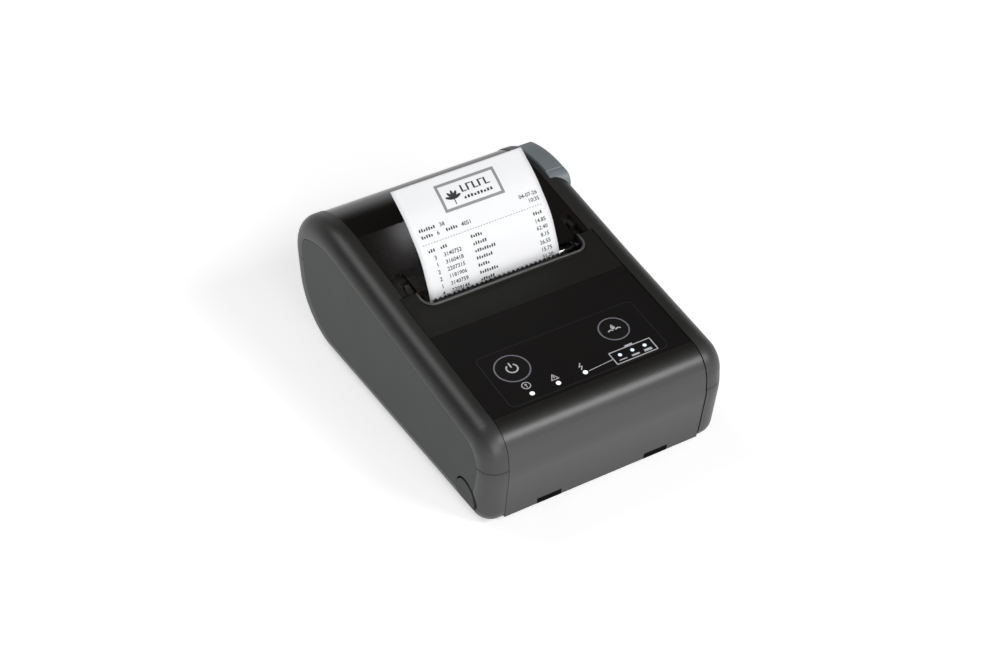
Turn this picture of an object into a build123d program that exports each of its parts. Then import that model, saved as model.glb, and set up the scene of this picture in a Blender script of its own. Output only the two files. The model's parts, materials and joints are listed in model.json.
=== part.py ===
from build123d import *
import os
from math import acos, atan2, cos, degrees, hypot, pi, radians, sin, tan

os.makedirs("parts", exist_ok=True)

# A portable receipt printer standing on its flat base. X runs to its right, Y from its
# front to its rear, Z up. The origin is the middle of the base. All sizes are millimetres.

# Body: one side profile, run across the whole width
body_width = 104.0
body_length = 159.0
body_height = 63.0
front_y = -body_length / 2
rear_y = body_length / 2
print_y = rear_y - 74.5  # the print line, where paper, head and platen meet
toe_recess = 6.2        # the front face leans in by this much down to the base
belly_height = 27.0     # the front face is furthest out here
deck_slope = 8.3        # degrees, key panel
cover_slope = 9.6       # degrees, front half of the roll cover
tail_slope = 21.6       # degrees, falling towards the rear
fold_y = print_y - 16.6   # the deck meets the steeper cover slope
crown_y = rear_y - 28.1   # the two upper slopes meet
rim_toe_radius = 8.0
centre_toe_radius = 3.0
belly_radius = 27.0
brow_radius = 11.5
fold_radius = 75.0
crown_radius = 50.0
tail_radius = 22.0
heel_radius = 27.0
rim_radius = 7.5        # rounding of the outer long edges

# Case shells
case_wall = 2.4
side_wall = 3.0
seam_half = 42.6        # the centre shells end here and the rims begin
seam_gap = 0.35
centre_step = 0.25      # the centre shells lie this much lower than the rims
shell_wall = 2.0
inner_wall = 1.5
split_front_height = 29.0
split_rear_height = 38.0
split_gap = 0.3
rear_sill_height = 42.0
beam_front_y = rear_y - 12.5
beam_top_z = 40.0
deck_plate_height = 32.0
deck_plate_wall = 1.6
deck_plate_front = front_y + 8.5
deck_plate_rear = print_y - 32.0
deck_window_length = 22.0
deck_window_width = 50.0
front_face_bottom = 2.0
toe_ledge = 2.6         # the base runs on this far behind the front face

# Side panels
panel_inset = 8.0
panel_rear_inset = 10.5
panel_front_shift = 0.5
panel_tail_drop = 1.5
panel_wall = 1.6
panel_gap = 0.15
panel_corner_radius = 8.0
panel_tail_radius = 10.0
panel_heel_radius = 22.0

# Paper, exit slot and lip
paper_width = 57.4
paper_middle = -2.1
paper_wall = 0.25
web_corner_z = 34.8
web_turn = 2.2
receipt_bend_z = 53.2
receipt_points = ((print_y - 0.8, 67.5), (print_y + 10.5, 79.0), (print_y + 21.3, 85.8))
receipt_radii = (20.0, 25.0, 40.0)
slot_half = 35.2
slot_front_y = print_y - 12.6
slot_rear_y = print_y - 7.4
slot_corner_radius = 4.5
slot_floor_wall = 1.2
slot_floor_drop = 4.4
slot_side_drop = 2.3
lip_width = 1.0
lip_rise = 0.5
lip_y = print_y - 9.0
cover_front_y = print_y - 4.1
blade_wall = 0.5
blade_height = 4.0
blade_tooth = 1.0
blade_tooth_pitch = 2.0
blade_half = 30.0

# Print line: the platen stands behind the head
platen_y = print_y
platen_z = 47.0
platen_radius = 5.9
platen_gap = 0.15       # air on each side of the paper
shaft_radius = 2.0
shaft_half = 40.2
bush_radius = 3.2
bush_length = 2.6
bush_wall = 1.6
fit_gap = 0.04          # radial clearance of a running fit
press_gap = 0.01        # radial clearance of parts pressed together
seat_gap = 0.05         # air between parts that lie on each other
root_depth = 0.5        # how far a boss is sunk into the wall it stands on
cut_past = 1.0          # how far a cut runs past the face it opens
loose_gap = 0.2         # clearance of parts that pass each other

# Roll cover and its hinge
cover_half = 41.0
rim_clearance = 0.6
cover_notch_inner = 34.7
cover_notch_outer = 39.0
cover_notch_length = 12.0
hinge_y = rear_y - 8.0
hinge_z = 46.5
cover_tail_z = 46.8
hinge_pin_radius = 1.2
knuckle_radius = 3.0
knuckle_length = 6.0
case_knuckle_x = 26.0
arm_inner_x = 37.4
arm_wall = 2.2
arm_depth = 6.0
neck_width = 6.0
neck_height = 7.0
bar_ys = (print_y + 9.0, rear_y - 17.5)
bar_width = 6.0
bar_depth = 2.4
lift_spring_x = 14.0
lift_spring_turns = 4
lift_spring_wire = 0.3
lift_spring_pitch = 1.0

# Open lever on the right rim
lever_x = 43.5
lever_front_y = rear_y - 43.0
lever_rear_y = rear_y - 18.9
lever_low_z = 55.5
lever_proud = 1.2
lever_edge_radius = 2.0
lever_wall = 2.0
lever_gap = 0.35
lever_pivot_z = 57.4
lever_pivot_radius = 1.4
lever_end_radius = 5.0
lever_arm = 8.0
lever_arm_width = 3.2
lever_boss_radius = 2.8
link_pin_radius = 1.0
link_x = 44.2
link_wall = 1.5
link_bar_width = 4.5
link_eye_radius = 3.4

# Latch
latch_y = print_y - 9.5
latch_z = 27.0
latch_shaft_radius = 1.5
hook_x = 35.3
hook_wall = 1.5
hook_gap = 0.1
hook_nose = 2.2
hook_depth = 0.9
hook_boss_radius = 3.5
crank_arm = 10.0
crank_width = 5.0

# Print mechanism
frame_left_x = -35.0
frame_right_x = 31.0
frame_wall = 1.5
frame_front_y = print_y - 29.0
frame_rear_y = print_y + 5.2
frame_top_z = 48.4
frame_screw_xs = (-28.0, 24.0)
frame_screw_ys = (print_y - 25.0, print_y + 1.0)
head_wall = 1.0
head_low_z = 39.0
head_top_z = 48.2
head_width = 58.5
sink_wall = 3.0
sink_low_z = 36.0
spring_z = 46.3
spring_length = 3.45
spring_radius = 1.75
spring_pitch = 0.72
spring_wire = 0.25
spring_spacing = 32.0
back_plate_low_z = 44.2
motor_y = print_y - 19.0
motor_z = 35.0
motor_radius = 8.0
motor_length = 17.0
motor_shaft_radius = 1.0

# Gears
gear_module = 0.5
pinion_teeth = 12
large_teeth = 36
small_teeth = 20
platen_teeth = 26
gear_wall = 1.6
gear_x = 31.5
gear_play = 0.1         # added to each distance between gear centres

# Paper roll and its tub
roll_y = rear_y - 41.5
roll_z = 31.5
roll_radius = 22.0
core_radius = 8.0
core_wall = 1.5
roll_gap = 0.3
tub_wall = 1.5
tub_top_z = 39.5
tub_side_gap = 1.3
rib_x = 11.0
rib_wall = 2.0
rib_length = 26.0

# Battery and its bay
battery_half = 34.0
battery_front_y = front_y + 19.3
battery_rear_y = print_y + 3.2
battery_low_z = 0.3
battery_top_z = 18.6
bay_gap = 0.3
bay_wall = 1.5
catch_half = 7.0
catch_length = 3.8
catch_travel = 3.0
catch_tongue = 3.7
catch_flange = 2.0
catch_wall = 2.0
contact_y = front_y + 25.5
contact_width = 16.0
contact_length = 6.4
pack_grip_width = 26.0
pack_grip_length = 1.2
pack_grip_pitch = 3.0
pack_grip_start = 8.0
catch_grip_length = 0.4
grip_depth = 0.6

# Boards and fasteners
board_wall = 1.6
board_low_z = 21.6
board_front_y = front_y + 11.5
board_rear_y = print_y - 32.0
board_half = 35.0
port_tongue_x = 44.0
board_screw_x = 31.0
board_screw_ys = (front_y + 21.5, print_y - 36.0)
pad_radius = 2.5
cable_half = 8.0
cable_wall = 0.24
cable_run_z = 30.6
cable_foot_y = print_y - 36.0
plug_width = 18.0
plug_length = 3.6
plug_height = 2.4
panel_board_drop = 8.0
panel_board_front = front_y + 12.0
panel_board_rear = front_y + 39.6
panel_board_half = 33.0
stalk_radius = 2.4
stalk_x = 28.0
stalk_ys = (front_y + 15.5, front_y + 37.0)
post_x = 39.6
post_radius = 3.2
post_front_y = front_y + 35.5
post_rear_y = rear_y - 29.5
screw_radius = 1.25
screw_head_radius = 2.3
screw_head_height = 1.8
screw_seat_drop = 9.0
screw_reach = 4.5
clip_x = 15.0
clip_y = roll_y - 16.0
insert_radius = 2.1
insert_bore_radius = 1.25
insert_length = 5.0
insert_boss_radius = 3.6
insert_boss_wall = 1.4

# Key panel sheet, buttons and lamps
sheet_wall = 0.4
sheet_glue = 0.02       # layer of glue under the sheet
sheet_rear_y = print_y - 27.6
sheet_front_y = front_y + 10.5
sheet_edge_gap = 0.2
sheet_emboss = 0.15
emboss_half = 34.0
emboss_rear_y = front_y + 39.5
emboss_front_y = front_y + 11.9
emboss_radius = 2.5
power_x = -23.5
feed_x = 20.4
key_y = front_y + 29.3
power_radius = 6.4
feed_radius = 5.5
key_gap = 0.2
key_flange = 0.7
key_flange_wall = 0.7
key_travel = 0.5
stem_radius = 1.8
switch_size = 6.0
switch_height = 3.2
switch_cap_radius = 1.7
switch_cap_height = 0.6
lamp_height = 0.7
lamp_radius = 0.95
lamp_y = front_y + 15.1
lamp_xs = (-23.5, -12.4, -0.9)
level_lamp_radius = 0.75
level_lamp_y = front_y + 16.7
level_lamp_xs = (15.1, 20.5, 25.9)

# Small parts on the boards and the mechanism
radio_x = 18.4
radio_y = print_y - 42.5
radio_width = 20.0
radio_length = 13.0
radio_height = 2.6
radio_board_wall = 0.8
buzzer_x = -18.0
buzzer_y = front_y + 31.5
buzzer_radius = 4.5
buzzer_height = 4.0
sensor_x = -9.0
sensor_y = print_y + 0.5
sensor_width = 6.0
sensor_length = 4.0
sensor_top_z = 36.0
cover_switch_z = 47.0
cover_switch_wall = 2.2
cover_switch_length = 6.4
cover_switch_height = 5.5

# Ports
dc_y = front_y + 18.0
dc_z = 9.0
cap_radius = 6.5
cap_gap = 0.15
cap_wall = 1.9
cap_plug_radius = 3.9
cap_plug_length = 0.9
nail_shift_y = -1.0
nail_shift_z = 0.7
nail_radius = 7.4
nail_depth = 1.3
jack_size = 9.0
jack_length = 11.0
jack_bore_radius = 2.8
jack_pin_radius = 1.0
port_y = front_y + 23.5
port_width = 11.0
port_height = 6.6
port_plug_width = 8.6
port_plug_height = 4.2
usb_width = 8.0
usb_height = 3.0
front_slot_x = 23.4
front_slot_width = 10.5
front_slot_height = 2.3
front_slot_low_z = 1.9

# Worked out from the sizes above
half_width = body_width / 2
rise = radians(cover_slope)
fall = radians(tail_slope)
crown_z = body_height + crown_radius * ((cos(rise) + cos(fall)) / (1 + cos(rise + fall)) - 1)
fold_z = crown_z - (crown_y - fold_y) * tan(rise)
brow_z = fold_z - (fold_y - front_y) * tan(radians(deck_slope))
tail_z = crown_z - (rear_y - crown_y) * tan(fall)
rim_start = seam_half + seam_gap / 2
centre_end = seam_half - seam_gap / 2
cavity_half = half_width - side_wall
inner_wall_x = rim_start - inner_wall
split_tilt = atan2(split_rear_height - split_front_height, body_length)
split_middle = (split_front_height + split_rear_height) / 2
nip_y = platen_y - platen_radius
paper_y = nip_y - platen_gap - paper_wall / 2
head_y = paper_y - paper_wall / 2 - platen_gap
sink_y = head_y - head_wall
spring_y = sink_y - sink_wall
back_plate_y = spring_y - spring_length
bay_top_z = battery_top_z + bay_gap
ceiling_z = bay_top_z + bay_wall
board_top_z = board_low_z + board_wall
frame_low_z = board_low_z
port_z = board_top_z + usb_height / 2
tub_half = paper_width / 2 + tub_side_gap
tub_radius = roll_radius + roll_gap


def split_height(y):
    return split_middle + y * tan(split_tilt)


def deck_height(y):
    return brow_z + (y - front_y) * tan(radians(deck_slope))


def panel_board_low(y):
    """Height of the underside of the key panel's board."""
    return deck_height(y) - (panel_board_drop + board_wall + centre_step) / cos(radians(deck_slope))


def tilted_plane(y, z, slope):
    tilt = radians(slope)
    return Plane(origin=(0, y, z), x_dir=(1, 0, 0), z_dir=(0, -sin(tilt), cos(tilt)))


def deck_plane(drop=0.0):
    """Plane of the key panel, through its middle, with its x and y along the panel."""
    return tilted_plane(key_y, deck_height(key_y), deck_slope).offset(-drop - centre_step)


def deck_place(y):
    """Distance along the key panel from its middle to a place given by its Y."""
    return (y - key_y) / cos(radians(deck_slope))


def side_outline(toe_radius, grow=0.0):
    """The side profile as a face, grown or shrunk by the given amount."""
    with BuildLine() as edge:
        FilletPolyline(
            (front_y + toe_recess, 0),
            (front_y, belly_height),
            (front_y, brow_z),
            (fold_y, fold_z),
            (crown_y, crown_z),
            (rear_y, tail_z),
            (rear_y, 0),
            radius=[toe_radius, belly_radius, brow_radius, fold_radius, crown_radius,
                    tail_radius, heel_radius],
            close=True,
        )
    make_face(edge.edges())
    if grow:
        offset(amount=grow, kind=Kind.INTERSECTION)


def panel_outline(shrink=0.0):
    """Outline of a side panel, following the body's profile inside its rounded edge."""
    low = panel_inset
    front = front_y + panel_inset - panel_front_shift
    rear = rear_y - panel_rear_inset
    lift = panel_inset / cos(rise)
    with BuildLine() as edge:
        FilletPolyline(
            (front + toe_recess, low),
            (front, belly_height),
            (front, brow_z - lift + panel_inset * tan(rise)),
            (crown_y, crown_z - lift),
            (rear, crown_z - lift - (rear - crown_y) * tan(fall) - panel_tail_drop),
            (rear, low),
            radius=[panel_corner_radius / 2, belly_radius / 3, panel_corner_radius,
                    crown_radius - panel_inset, panel_tail_radius, panel_heel_radius],
            close=True,
        )
    make_face(edge.edges())
    if shrink:
        offset(amount=-shrink, kind=Kind.INTERSECTION)


def save(piece, name):
    piece.part.label = name
    export_step(piece.part, f"parts/{name}.step")


split_plane = Plane(
    origin=(0, 0, split_middle), x_dir=(1, 0, 0), z_dir=(0, -sin(split_tilt), cos(split_tilt))
)

# Solid shapes that several pieces are cut from
with BuildPart() as envelope:
    with BuildSketch(Plane.YZ):
        side_outline(rim_toe_radius)
    extrude(amount=half_width, both=True)
    outer_faces = envelope.faces().sort_by(Axis.X)
    fillet(outer_faces[0].edges() + outer_faces[-1].edges(), radius=rim_radius)

with BuildPart() as cavity:
    with BuildSketch(Plane.YZ):
        side_outline(rim_toe_radius, -case_wall)
    extrude(amount=cavity_half, both=True)
    cavity_faces = cavity.faces().sort_by(Axis.X)
    fillet(cavity_faces[0].edges() + cavity_faces[-1].edges(), radius=rim_radius - side_wall)

with BuildPart() as centre_core:
    with BuildSketch(Plane.YZ):
        side_outline(centre_toe_radius, -centre_step - shell_wall)
    extrude(amount=half_width, both=True)

with BuildPart() as panel_prism:
    with BuildSketch(Plane.YZ):
        panel_outline()
    extrude(amount=body_width, both=True)
    with Locations((0, 0, body_height / 2)):
        Box(2 * (half_width - panel_wall - panel_gap), 2 * body_length, 2 * body_height,
            mode=Mode.SUBTRACT)

with BuildPart() as dc_pocket:
    with BuildSketch(Plane.YZ.offset(-half_width - cut_past)):
        with Locations((dc_y, dc_z)):
            Circle(cap_radius + cap_gap)
    extrude(amount=cut_past + cap_wall + cap_gap)
    with BuildSketch(Plane.YZ.offset(-half_width - cut_past)):
        with Locations((dc_y + nail_shift_y, dc_z + nail_shift_z)):
            Circle(nail_radius)
    extrude(amount=cut_past + nail_depth)
    with BuildSketch(Plane.YZ.offset(-half_width - cut_past)):
        with Locations((dc_y, dc_z)):
            Circle(cap_plug_radius + cap_gap)
    extrude(amount=side_wall + 2 * cut_past)

with BuildPart() as port_pocket:
    with BuildSketch(Plane.YZ.offset(half_width - panel_wall - panel_gap)):
        with Locations((port_y, port_z)):
            RectangleRounded(port_width + 2 * cap_gap, port_height + 2 * cap_gap, 1.5)
    extrude(amount=body_width / 4)
    with BuildSketch(Plane.YZ.offset(cavity_half - 1)):
        with Locations((port_y, port_z)):
            RectangleRounded(port_plug_width + 2 * cap_gap, port_plug_height + 2 * cap_gap, 1.0)
    extrude(amount=side_wall)

# Lower case: tray with the battery bay, screw posts and rests for the tub and the jack
with BuildPart() as lower_case:
    add(envelope.part)
    add(cavity.part, mode=Mode.SUBTRACT)
    with Locations((0, front_y, body_height / 2 + front_face_bottom)):
        Box(2 * rim_start, 2 * (toe_recess + toe_ledge), body_height, mode=Mode.SUBTRACT)
    add(panel_prism.part, mode=Mode.SUBTRACT)
    split(bisect_by=split_plane.offset(-split_gap / 2), keep=Keep.BOTTOM)
    bay_middle_y = (battery_front_y + battery_rear_y) / 2
    bay_length = battery_rear_y - battery_front_y + 2 * bay_gap
    with Locations((0, bay_middle_y, 0)):
        Box(2 * (battery_half + bay_gap + bay_wall), bay_length + 2 * bay_wall, ceiling_z,
            align=(Align.CENTER, Align.CENTER, Align.MIN))
    for side in (-1, 1):
        for y in (post_front_y, post_rear_y):
            seat = split_height(y) - screw_seat_drop
            with Locations((side * post_x, y, 0)):
                Cylinder(post_radius, split_height(y) - split_gap / 2,
                         align=(Align.CENTER, Align.CENTER, Align.MIN))
                Cylinder(screw_head_radius + loose_gap, seat, mode=Mode.SUBTRACT,
                         align=(Align.CENTER, Align.CENTER, Align.MIN))
                Cylinder(screw_radius + fit_gap, body_height, mode=Mode.SUBTRACT,
                         align=(Align.CENTER, Align.CENTER, Align.MIN))
        with Locations((side * clip_x, clip_y, 0)):
            Cylinder(insert_boss_radius, insert_length + insert_boss_wall,
                     align=(Align.CENTER, Align.CENTER, Align.MIN))
            Cylinder(insert_radius, insert_length, mode=Mode.SUBTRACT,
                     align=(Align.CENTER, Align.CENTER, Align.MIN))
    # Two ribs under the tub and a rest under the power jack
    for side in (-1, 1):
        with BuildSketch(Plane.YZ.offset(side * rib_x)):
            with Locations((roll_y, case_wall / 2)):
                Rectangle(rib_length, roll_z - tub_radius, align=(Align.CENTER, Align.MIN))
            with Locations((roll_y, roll_z)):
                Circle(tub_radius + tub_wall, mode=Mode.SUBTRACT)
        extrude(amount=rib_wall / 2, both=True)
    with Locations((-cavity_half, dc_y, case_wall / 2)):
        Box(jack_length, jack_size - 1, dc_z - jack_size / 2 - case_wall / 2,
            align=(Align.MIN, Align.CENTER, Align.MIN))
    # Pads for the main board and the mechanism on the bay's roof
    pads = [(x, y) for x in (-board_screw_x, board_screw_x) for y in board_screw_ys]
    pads += [(x, y) for x in frame_screw_xs for y in frame_screw_ys]
    with Locations(*[(x, y, ceiling_z - root_depth) for x, y in pads]):
        Cylinder(pad_radius, board_low_z - ceiling_z + root_depth,
                 align=(Align.CENTER, Align.CENTER, Align.MIN))
    with Locations(*[(x, y, bay_top_z + 0.1) for x, y in pads]):
        Cylinder(screw_radius, board_low_z, mode=Mode.SUBTRACT,
                 align=(Align.CENTER, Align.CENTER, Align.MIN))
    # The bay itself, the catch's slide and the hole for the contacts
    with Locations((0, bay_middle_y, -cut_past)):
        Box(2 * (battery_half + bay_gap), bay_length, bay_top_z + cut_past, mode=Mode.SUBTRACT,
            align=(Align.CENTER, Align.CENTER, Align.MIN))
    catch_rear_y = battery_front_y - bay_gap - bay_wall - loose_gap
    with Locations((0, catch_rear_y + loose_gap / 2, -cut_past)):
        Box(2 * (catch_half + loose_gap), catch_length + catch_travel + 2 * loose_gap,
            case_wall + 2 * cut_past, mode=Mode.SUBTRACT,
            align=(Align.CENTER, Align.MAX, Align.MIN))
    with Locations((0, catch_rear_y, catch_wall + battery_low_z - loose_gap)):
        Box(catch_half + 2 * loose_gap, 4 * bay_wall, catch_wall + 2 * loose_gap,
            mode=Mode.SUBTRACT, align=(Align.CENTER, Align.CENTER, Align.MIN))
    with Locations((0, contact_y, bay_top_z - cut_past)):
        Box(contact_width + 1, contact_length + 1, bay_wall + 2 * cut_past, mode=Mode.SUBTRACT,
            align=(Align.CENTER, Align.CENTER, Align.MIN))
    add(dc_pocket.part, mode=Mode.SUBTRACT)
    add(port_pocket.part, mode=Mode.SUBTRACT)
save(lower_case, "lower_case")

with BuildPart() as inner_wall_prism:
    with BuildSketch(Plane.YZ):
        side_outline(centre_toe_radius, -centre_step - shell_wall - loose_gap)
    extrude(amount=rim_start, both=True)
    with BuildSketch(Plane.YZ):
        side_outline(rim_toe_radius)
        with Locations((cover_front_y - body_length, body_height / 2)):
            Rectangle(2 * body_length, 2 * body_height, mode=Mode.SUBTRACT)
    extrude(amount=rim_start, both=True)
    Box(2 * inner_wall_x, 2 * body_length, 3 * body_height, mode=Mode.SUBTRACT)


def lever_outline(grow=0.0):
    """Side view of the open lever: a long plate with a round end about its pivot."""
    with Locations(((lever_front_y + lever_rear_y + grow) / 2, (lever_low_z - grow + crown_z + 4) / 2)):
        Rectangle(lever_rear_y + grow - lever_front_y, crown_z + 4 - lever_low_z + grow)
    with Locations((lever_front_y, lever_pivot_z)):
        Circle(lever_end_radius + grow)


# Upper case: both upper rims, their inner walls, the deck plate and the rear hinge beam
with BuildPart() as upper_case:
    add(envelope.part)
    add(cavity.part, mode=Mode.SUBTRACT)
    with Locations((0, (front_y + beam_front_y) / 2 - 5, 0)):
        Box(2 * rim_start, beam_front_y - front_y + 10, 3 * body_height, mode=Mode.SUBTRACT)
    with Locations((0, rear_y, rear_sill_height)):
        Box(2 * rim_start, 2 * (rear_y - beam_front_y) + 2, body_height, mode=Mode.SUBTRACT,
            align=(Align.CENTER, Align.CENTER, Align.MIN))
    add(inner_wall_prism.part)
    beam_low_z = split_height(beam_front_y)
    with Locations((0, (beam_front_y + rear_y - 1) / 2, beam_low_z)):
        Box(2 * rim_start, rear_y - 1 - beam_front_y, beam_top_z - beam_low_z,
            align=(Align.CENTER, Align.CENTER, Align.MIN))
    with Locations((0, (deck_plate_front + deck_plate_rear) / 2, deck_plate_height)):
        Box(2 * rim_start, deck_plate_rear - deck_plate_front, deck_plate_wall,
            align=(Align.CENTER, Align.CENTER, Align.MIN))
        Box(deck_window_width, deck_window_length, deck_plate_wall, mode=Mode.SUBTRACT,
            align=(Align.CENTER, Align.CENTER, Align.MIN))
    # Screw bosses that meet the lower case's posts
    for side in (-1, 1):
        for y, top in ((post_front_y, deck_plate_height + deck_plate_wall),
                       (post_rear_y, split_height(post_rear_y) + screw_reach + 2)):
            with Locations((side * post_x, y, split_height(y) - 2)):
                Cylinder(post_radius, top - split_height(y) + 2,
                         align=(Align.CENTER, Align.CENTER, Align.MIN))
            with Locations((side * post_x, y, 0)):
                Cylinder(screw_radius, split_height(y) + screw_reach, mode=Mode.SUBTRACT,
                         align=(Align.CENTER, Align.CENTER, Align.MIN))
    # Stalks that carry the key panel's board
    for x in (-stalk_x, stalk_x):
        for y in stalk_ys:
            with Locations((x, y, deck_plate_height)):
                Cylinder(stalk_radius, panel_board_low(y - stalk_radius) - deck_plate_height,
                         align=(Align.CENTER, Align.CENTER, Align.MIN))
    split(bisect_by=split_plane.offset(split_gap / 2), keep=Keep.TOP)
    # Hinge knuckles with their feet on the beam
    for side in (-1, 1):
        with BuildSketch(Plane.YZ.offset(side * case_knuckle_x)):
            with Locations((hinge_y, hinge_z)):
                Circle(knuckle_radius)
            with Locations((hinge_y - 0.5, (beam_top_z - 1 + hinge_z) / 2)):
                Rectangle(knuckle_radius - 0.5, hinge_z - beam_top_z + 1,
                          align=(Align.MAX, Align.CENTER))
            with Locations((hinge_y, hinge_z)):
                Circle(hinge_pin_radius + fit_gap, mode=Mode.SUBTRACT)
        extrude(amount=knuckle_length / 2, both=True)
    with BuildSketch(Plane.YZ.offset(lever_x - lever_gap)):
        lever_outline(lever_gap)
    extrude(amount=half_width, mode=Mode.SUBTRACT)
    with BuildSketch(Plane.YZ.offset(inner_wall_x - 1)):
        with Locations((lever_front_y, lever_pivot_z)):
            Circle(lever_pivot_radius)
    extrude(amount=inner_wall + 2, mode=Mode.SUBTRACT)
    add(panel_prism.part, mode=Mode.SUBTRACT)
save(upper_case, "upper_case")

# Front cover: deck, brow and front face in one shell, with the paper exit's lip
with BuildPart() as front_cover:
    with BuildSketch(Plane.YZ):
        side_outline(centre_toe_radius, -centre_step)
    extrude(amount=centre_end, both=True)
    lip_plane = tilted_plane(lip_y, deck_height(lip_y), (deck_slope + cover_slope) / 2)
    with BuildSketch(lip_plane.offset(-1)):
        with Locations((0, body_length / 2 + slot_front_y - lip_y - lip_width)):
            RectangleRounded(2 * (slot_half + lip_width), body_length,
                             slot_corner_radius + lip_width)
    extrude(amount=1 + lip_rise)
    add(centre_core.part, mode=Mode.SUBTRACT)
    with BuildSketch(lip_plane.offset(-body_height / 4)):
        with Locations((0, body_length / 2 + slot_front_y - lip_y)):
            RectangleRounded(2 * slot_half, body_length, slot_corner_radius)
    extrude(amount=body_height / 2, mode=Mode.SUBTRACT)
    # Sloping floor and closed ends of the exit recess
    slot_top_z = deck_height(slot_front_y) - centre_step
    with BuildSketch(Plane.YZ):
        with BuildLine():
            Polyline(
                (slot_front_y - 0.6, slot_top_z - 0.4),
                (slot_front_y + 0.4, slot_top_z - 0.4),
                (slot_rear_y, slot_top_z - slot_floor_drop),
                (slot_rear_y, slot_top_z - slot_floor_drop - slot_floor_wall),
                (slot_front_y - 0.6, slot_top_z - shell_wall),
                close=True,
            )
        make_face()
    extrude(amount=slot_half - 0.6, both=True)
    for side in (-1, 1):
        with BuildSketch(Plane.YZ.offset(side * (slot_half + slot_floor_wall / 2 - seat_gap))):
            with BuildLine():
                Polyline(
                    (slot_front_y, slot_top_z - 0.6),
                    (cover_front_y - seam_gap, deck_height(cover_front_y) - 0.6),
                    (cover_front_y - seam_gap, deck_height(cover_front_y) - slot_side_drop / 2),
                    (slot_front_y, slot_top_z - slot_side_drop),
                    close=True,
                )
            make_face()
        extrude(amount=slot_floor_wall / 2, both=True)
    with Locations((0, cover_front_y - seam_gap + body_length, 0)):
        Box(body_width, 2 * body_length, 3 * body_height, mode=Mode.SUBTRACT)
    with Locations((0, 0, front_face_bottom + seam_gap)):
        Box(body_width, 2 * body_length, body_height, mode=Mode.SUBTRACT,
            align=(Align.CENTER, Align.CENTER, Align.MAX))
    # Recess of the panel sheet, with the holes for keys and lamps
    with BuildSketch(deck_plane(sheet_wall)):
        sheet_middle = (deck_place(sheet_rear_y) + deck_place(sheet_front_y)) / 2
        sheet_length = deck_place(sheet_rear_y) - deck_place(sheet_front_y)
        with Locations((0, sheet_middle)):
            Rectangle(2 * seam_half, sheet_length)
    extrude(amount=shell_wall, mode=Mode.SUBTRACT)
    with BuildSketch(deck_plane(2 * shell_wall)):
        with Locations((power_x, 0)):
            Circle(power_radius + key_gap)
        with Locations((feed_x, 0)):
            Circle(feed_radius + key_gap)
        with Locations(*[(x, deck_place(lamp_y)) for x in lamp_xs]):
            Circle(lamp_radius + fit_gap)
        with Locations(*[(x, deck_place(level_lamp_y)) for x in level_lamp_xs]):
            Circle(level_lamp_radius + fit_gap)
    extrude(amount=4 * shell_wall, mode=Mode.SUBTRACT)
    with Locations((-front_slot_x, front_y, front_slot_low_z), (front_slot_x, front_y, front_slot_low_z)):
        Box(front_slot_width, 4 * toe_recess, front_slot_height, mode=Mode.SUBTRACT,
            align=(Align.CENTER, Align.CENTER, Align.MIN))
save(front_cover, "front_cover")

# Side panels lie in the rims' recesses, cut away round the ports and the lever
with BuildPart() as side_panel_left:
    with BuildSketch(Plane.YZ.offset(-half_width)):
        panel_outline(panel_gap)
    extrude(amount=panel_wall)
    add(dc_pocket.part, mode=Mode.SUBTRACT)
save(side_panel_left, "side_panel_left")

with BuildPart() as side_panel_right:
    with BuildSketch(Plane.YZ.offset(half_width - panel_wall)):
        panel_outline(panel_gap)
    extrude(amount=panel_wall)
    add(port_pocket.part, mode=Mode.SUBTRACT)
    with BuildSketch(Plane.YZ.offset(cavity_half)):
        lever_outline(lever_gap)
    extrude(amount=2 * side_wall, mode=Mode.SUBTRACT)
save(side_panel_right, "side_panel_right")

# Panel sheet: thin key panel with a faintly raised field round the keys and lamps
with BuildPart() as panel_sheet:
    with BuildSketch(deck_plane(sheet_wall - sheet_glue)):
        with Locations((0, sheet_middle)):
            Rectangle(2 * (centre_end - 0.1), sheet_length - 2 * sheet_edge_gap)
    extrude(amount=sheet_wall - sheet_glue)
    with BuildSketch(deck_plane(sheet_wall / 2)):
        emboss_middle = (deck_place(emboss_rear_y) + deck_place(emboss_front_y)) / 2
        with Locations((0, emboss_middle)):
            RectangleRounded(2 * emboss_half, deck_place(emboss_rear_y) - deck_place(emboss_front_y),
                             emboss_radius)
    extrude(amount=sheet_wall / 2 + sheet_emboss)
    with BuildSketch(deck_plane(2 * shell_wall)):
        with Locations((power_x, 0)):
            Circle(power_radius + key_gap)
        with Locations((feed_x, 0)):
            Circle(feed_radius + key_gap)
        with Locations(*[(x, deck_place(lamp_y)) for x in lamp_xs]):
            Circle(lamp_radius + fit_gap)
        with Locations(*[(x, deck_place(level_lamp_y)) for x in level_lamp_xs]):
            Circle(level_lamp_radius + fit_gap)
    extrude(amount=4 * shell_wall, mode=Mode.SUBTRACT)
save(panel_sheet, "panel_sheet")

# Keys: a cap, a flange that keeps it in and a stem over its switch
stem_end = panel_board_drop - switch_height - key_travel - seat_gap
for name, x, radius in (("power_button", power_x, power_radius), ("feed_button", feed_x, feed_radius)):
    with BuildPart() as key:
        with BuildSketch(deck_plane(shell_wall)):
            with Locations((x, 0)):
                Circle(radius)
        extrude(amount=shell_wall + sheet_emboss)
        fillet(key.faces().sort_by(Axis.Z)[-1].edges(), radius=0.3)
        with BuildSketch(deck_plane(shell_wall + seat_gap + key_flange_wall)):
            with Locations((x, 0)):
                Circle(radius + key_flange)
        extrude(amount=key_flange_wall)
        with BuildSketch(deck_plane(stem_end)):
            with Locations((x, 0)):
                Circle(stem_radius)
        extrude(amount=stem_end - shell_wall)
    save(key, name)

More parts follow.
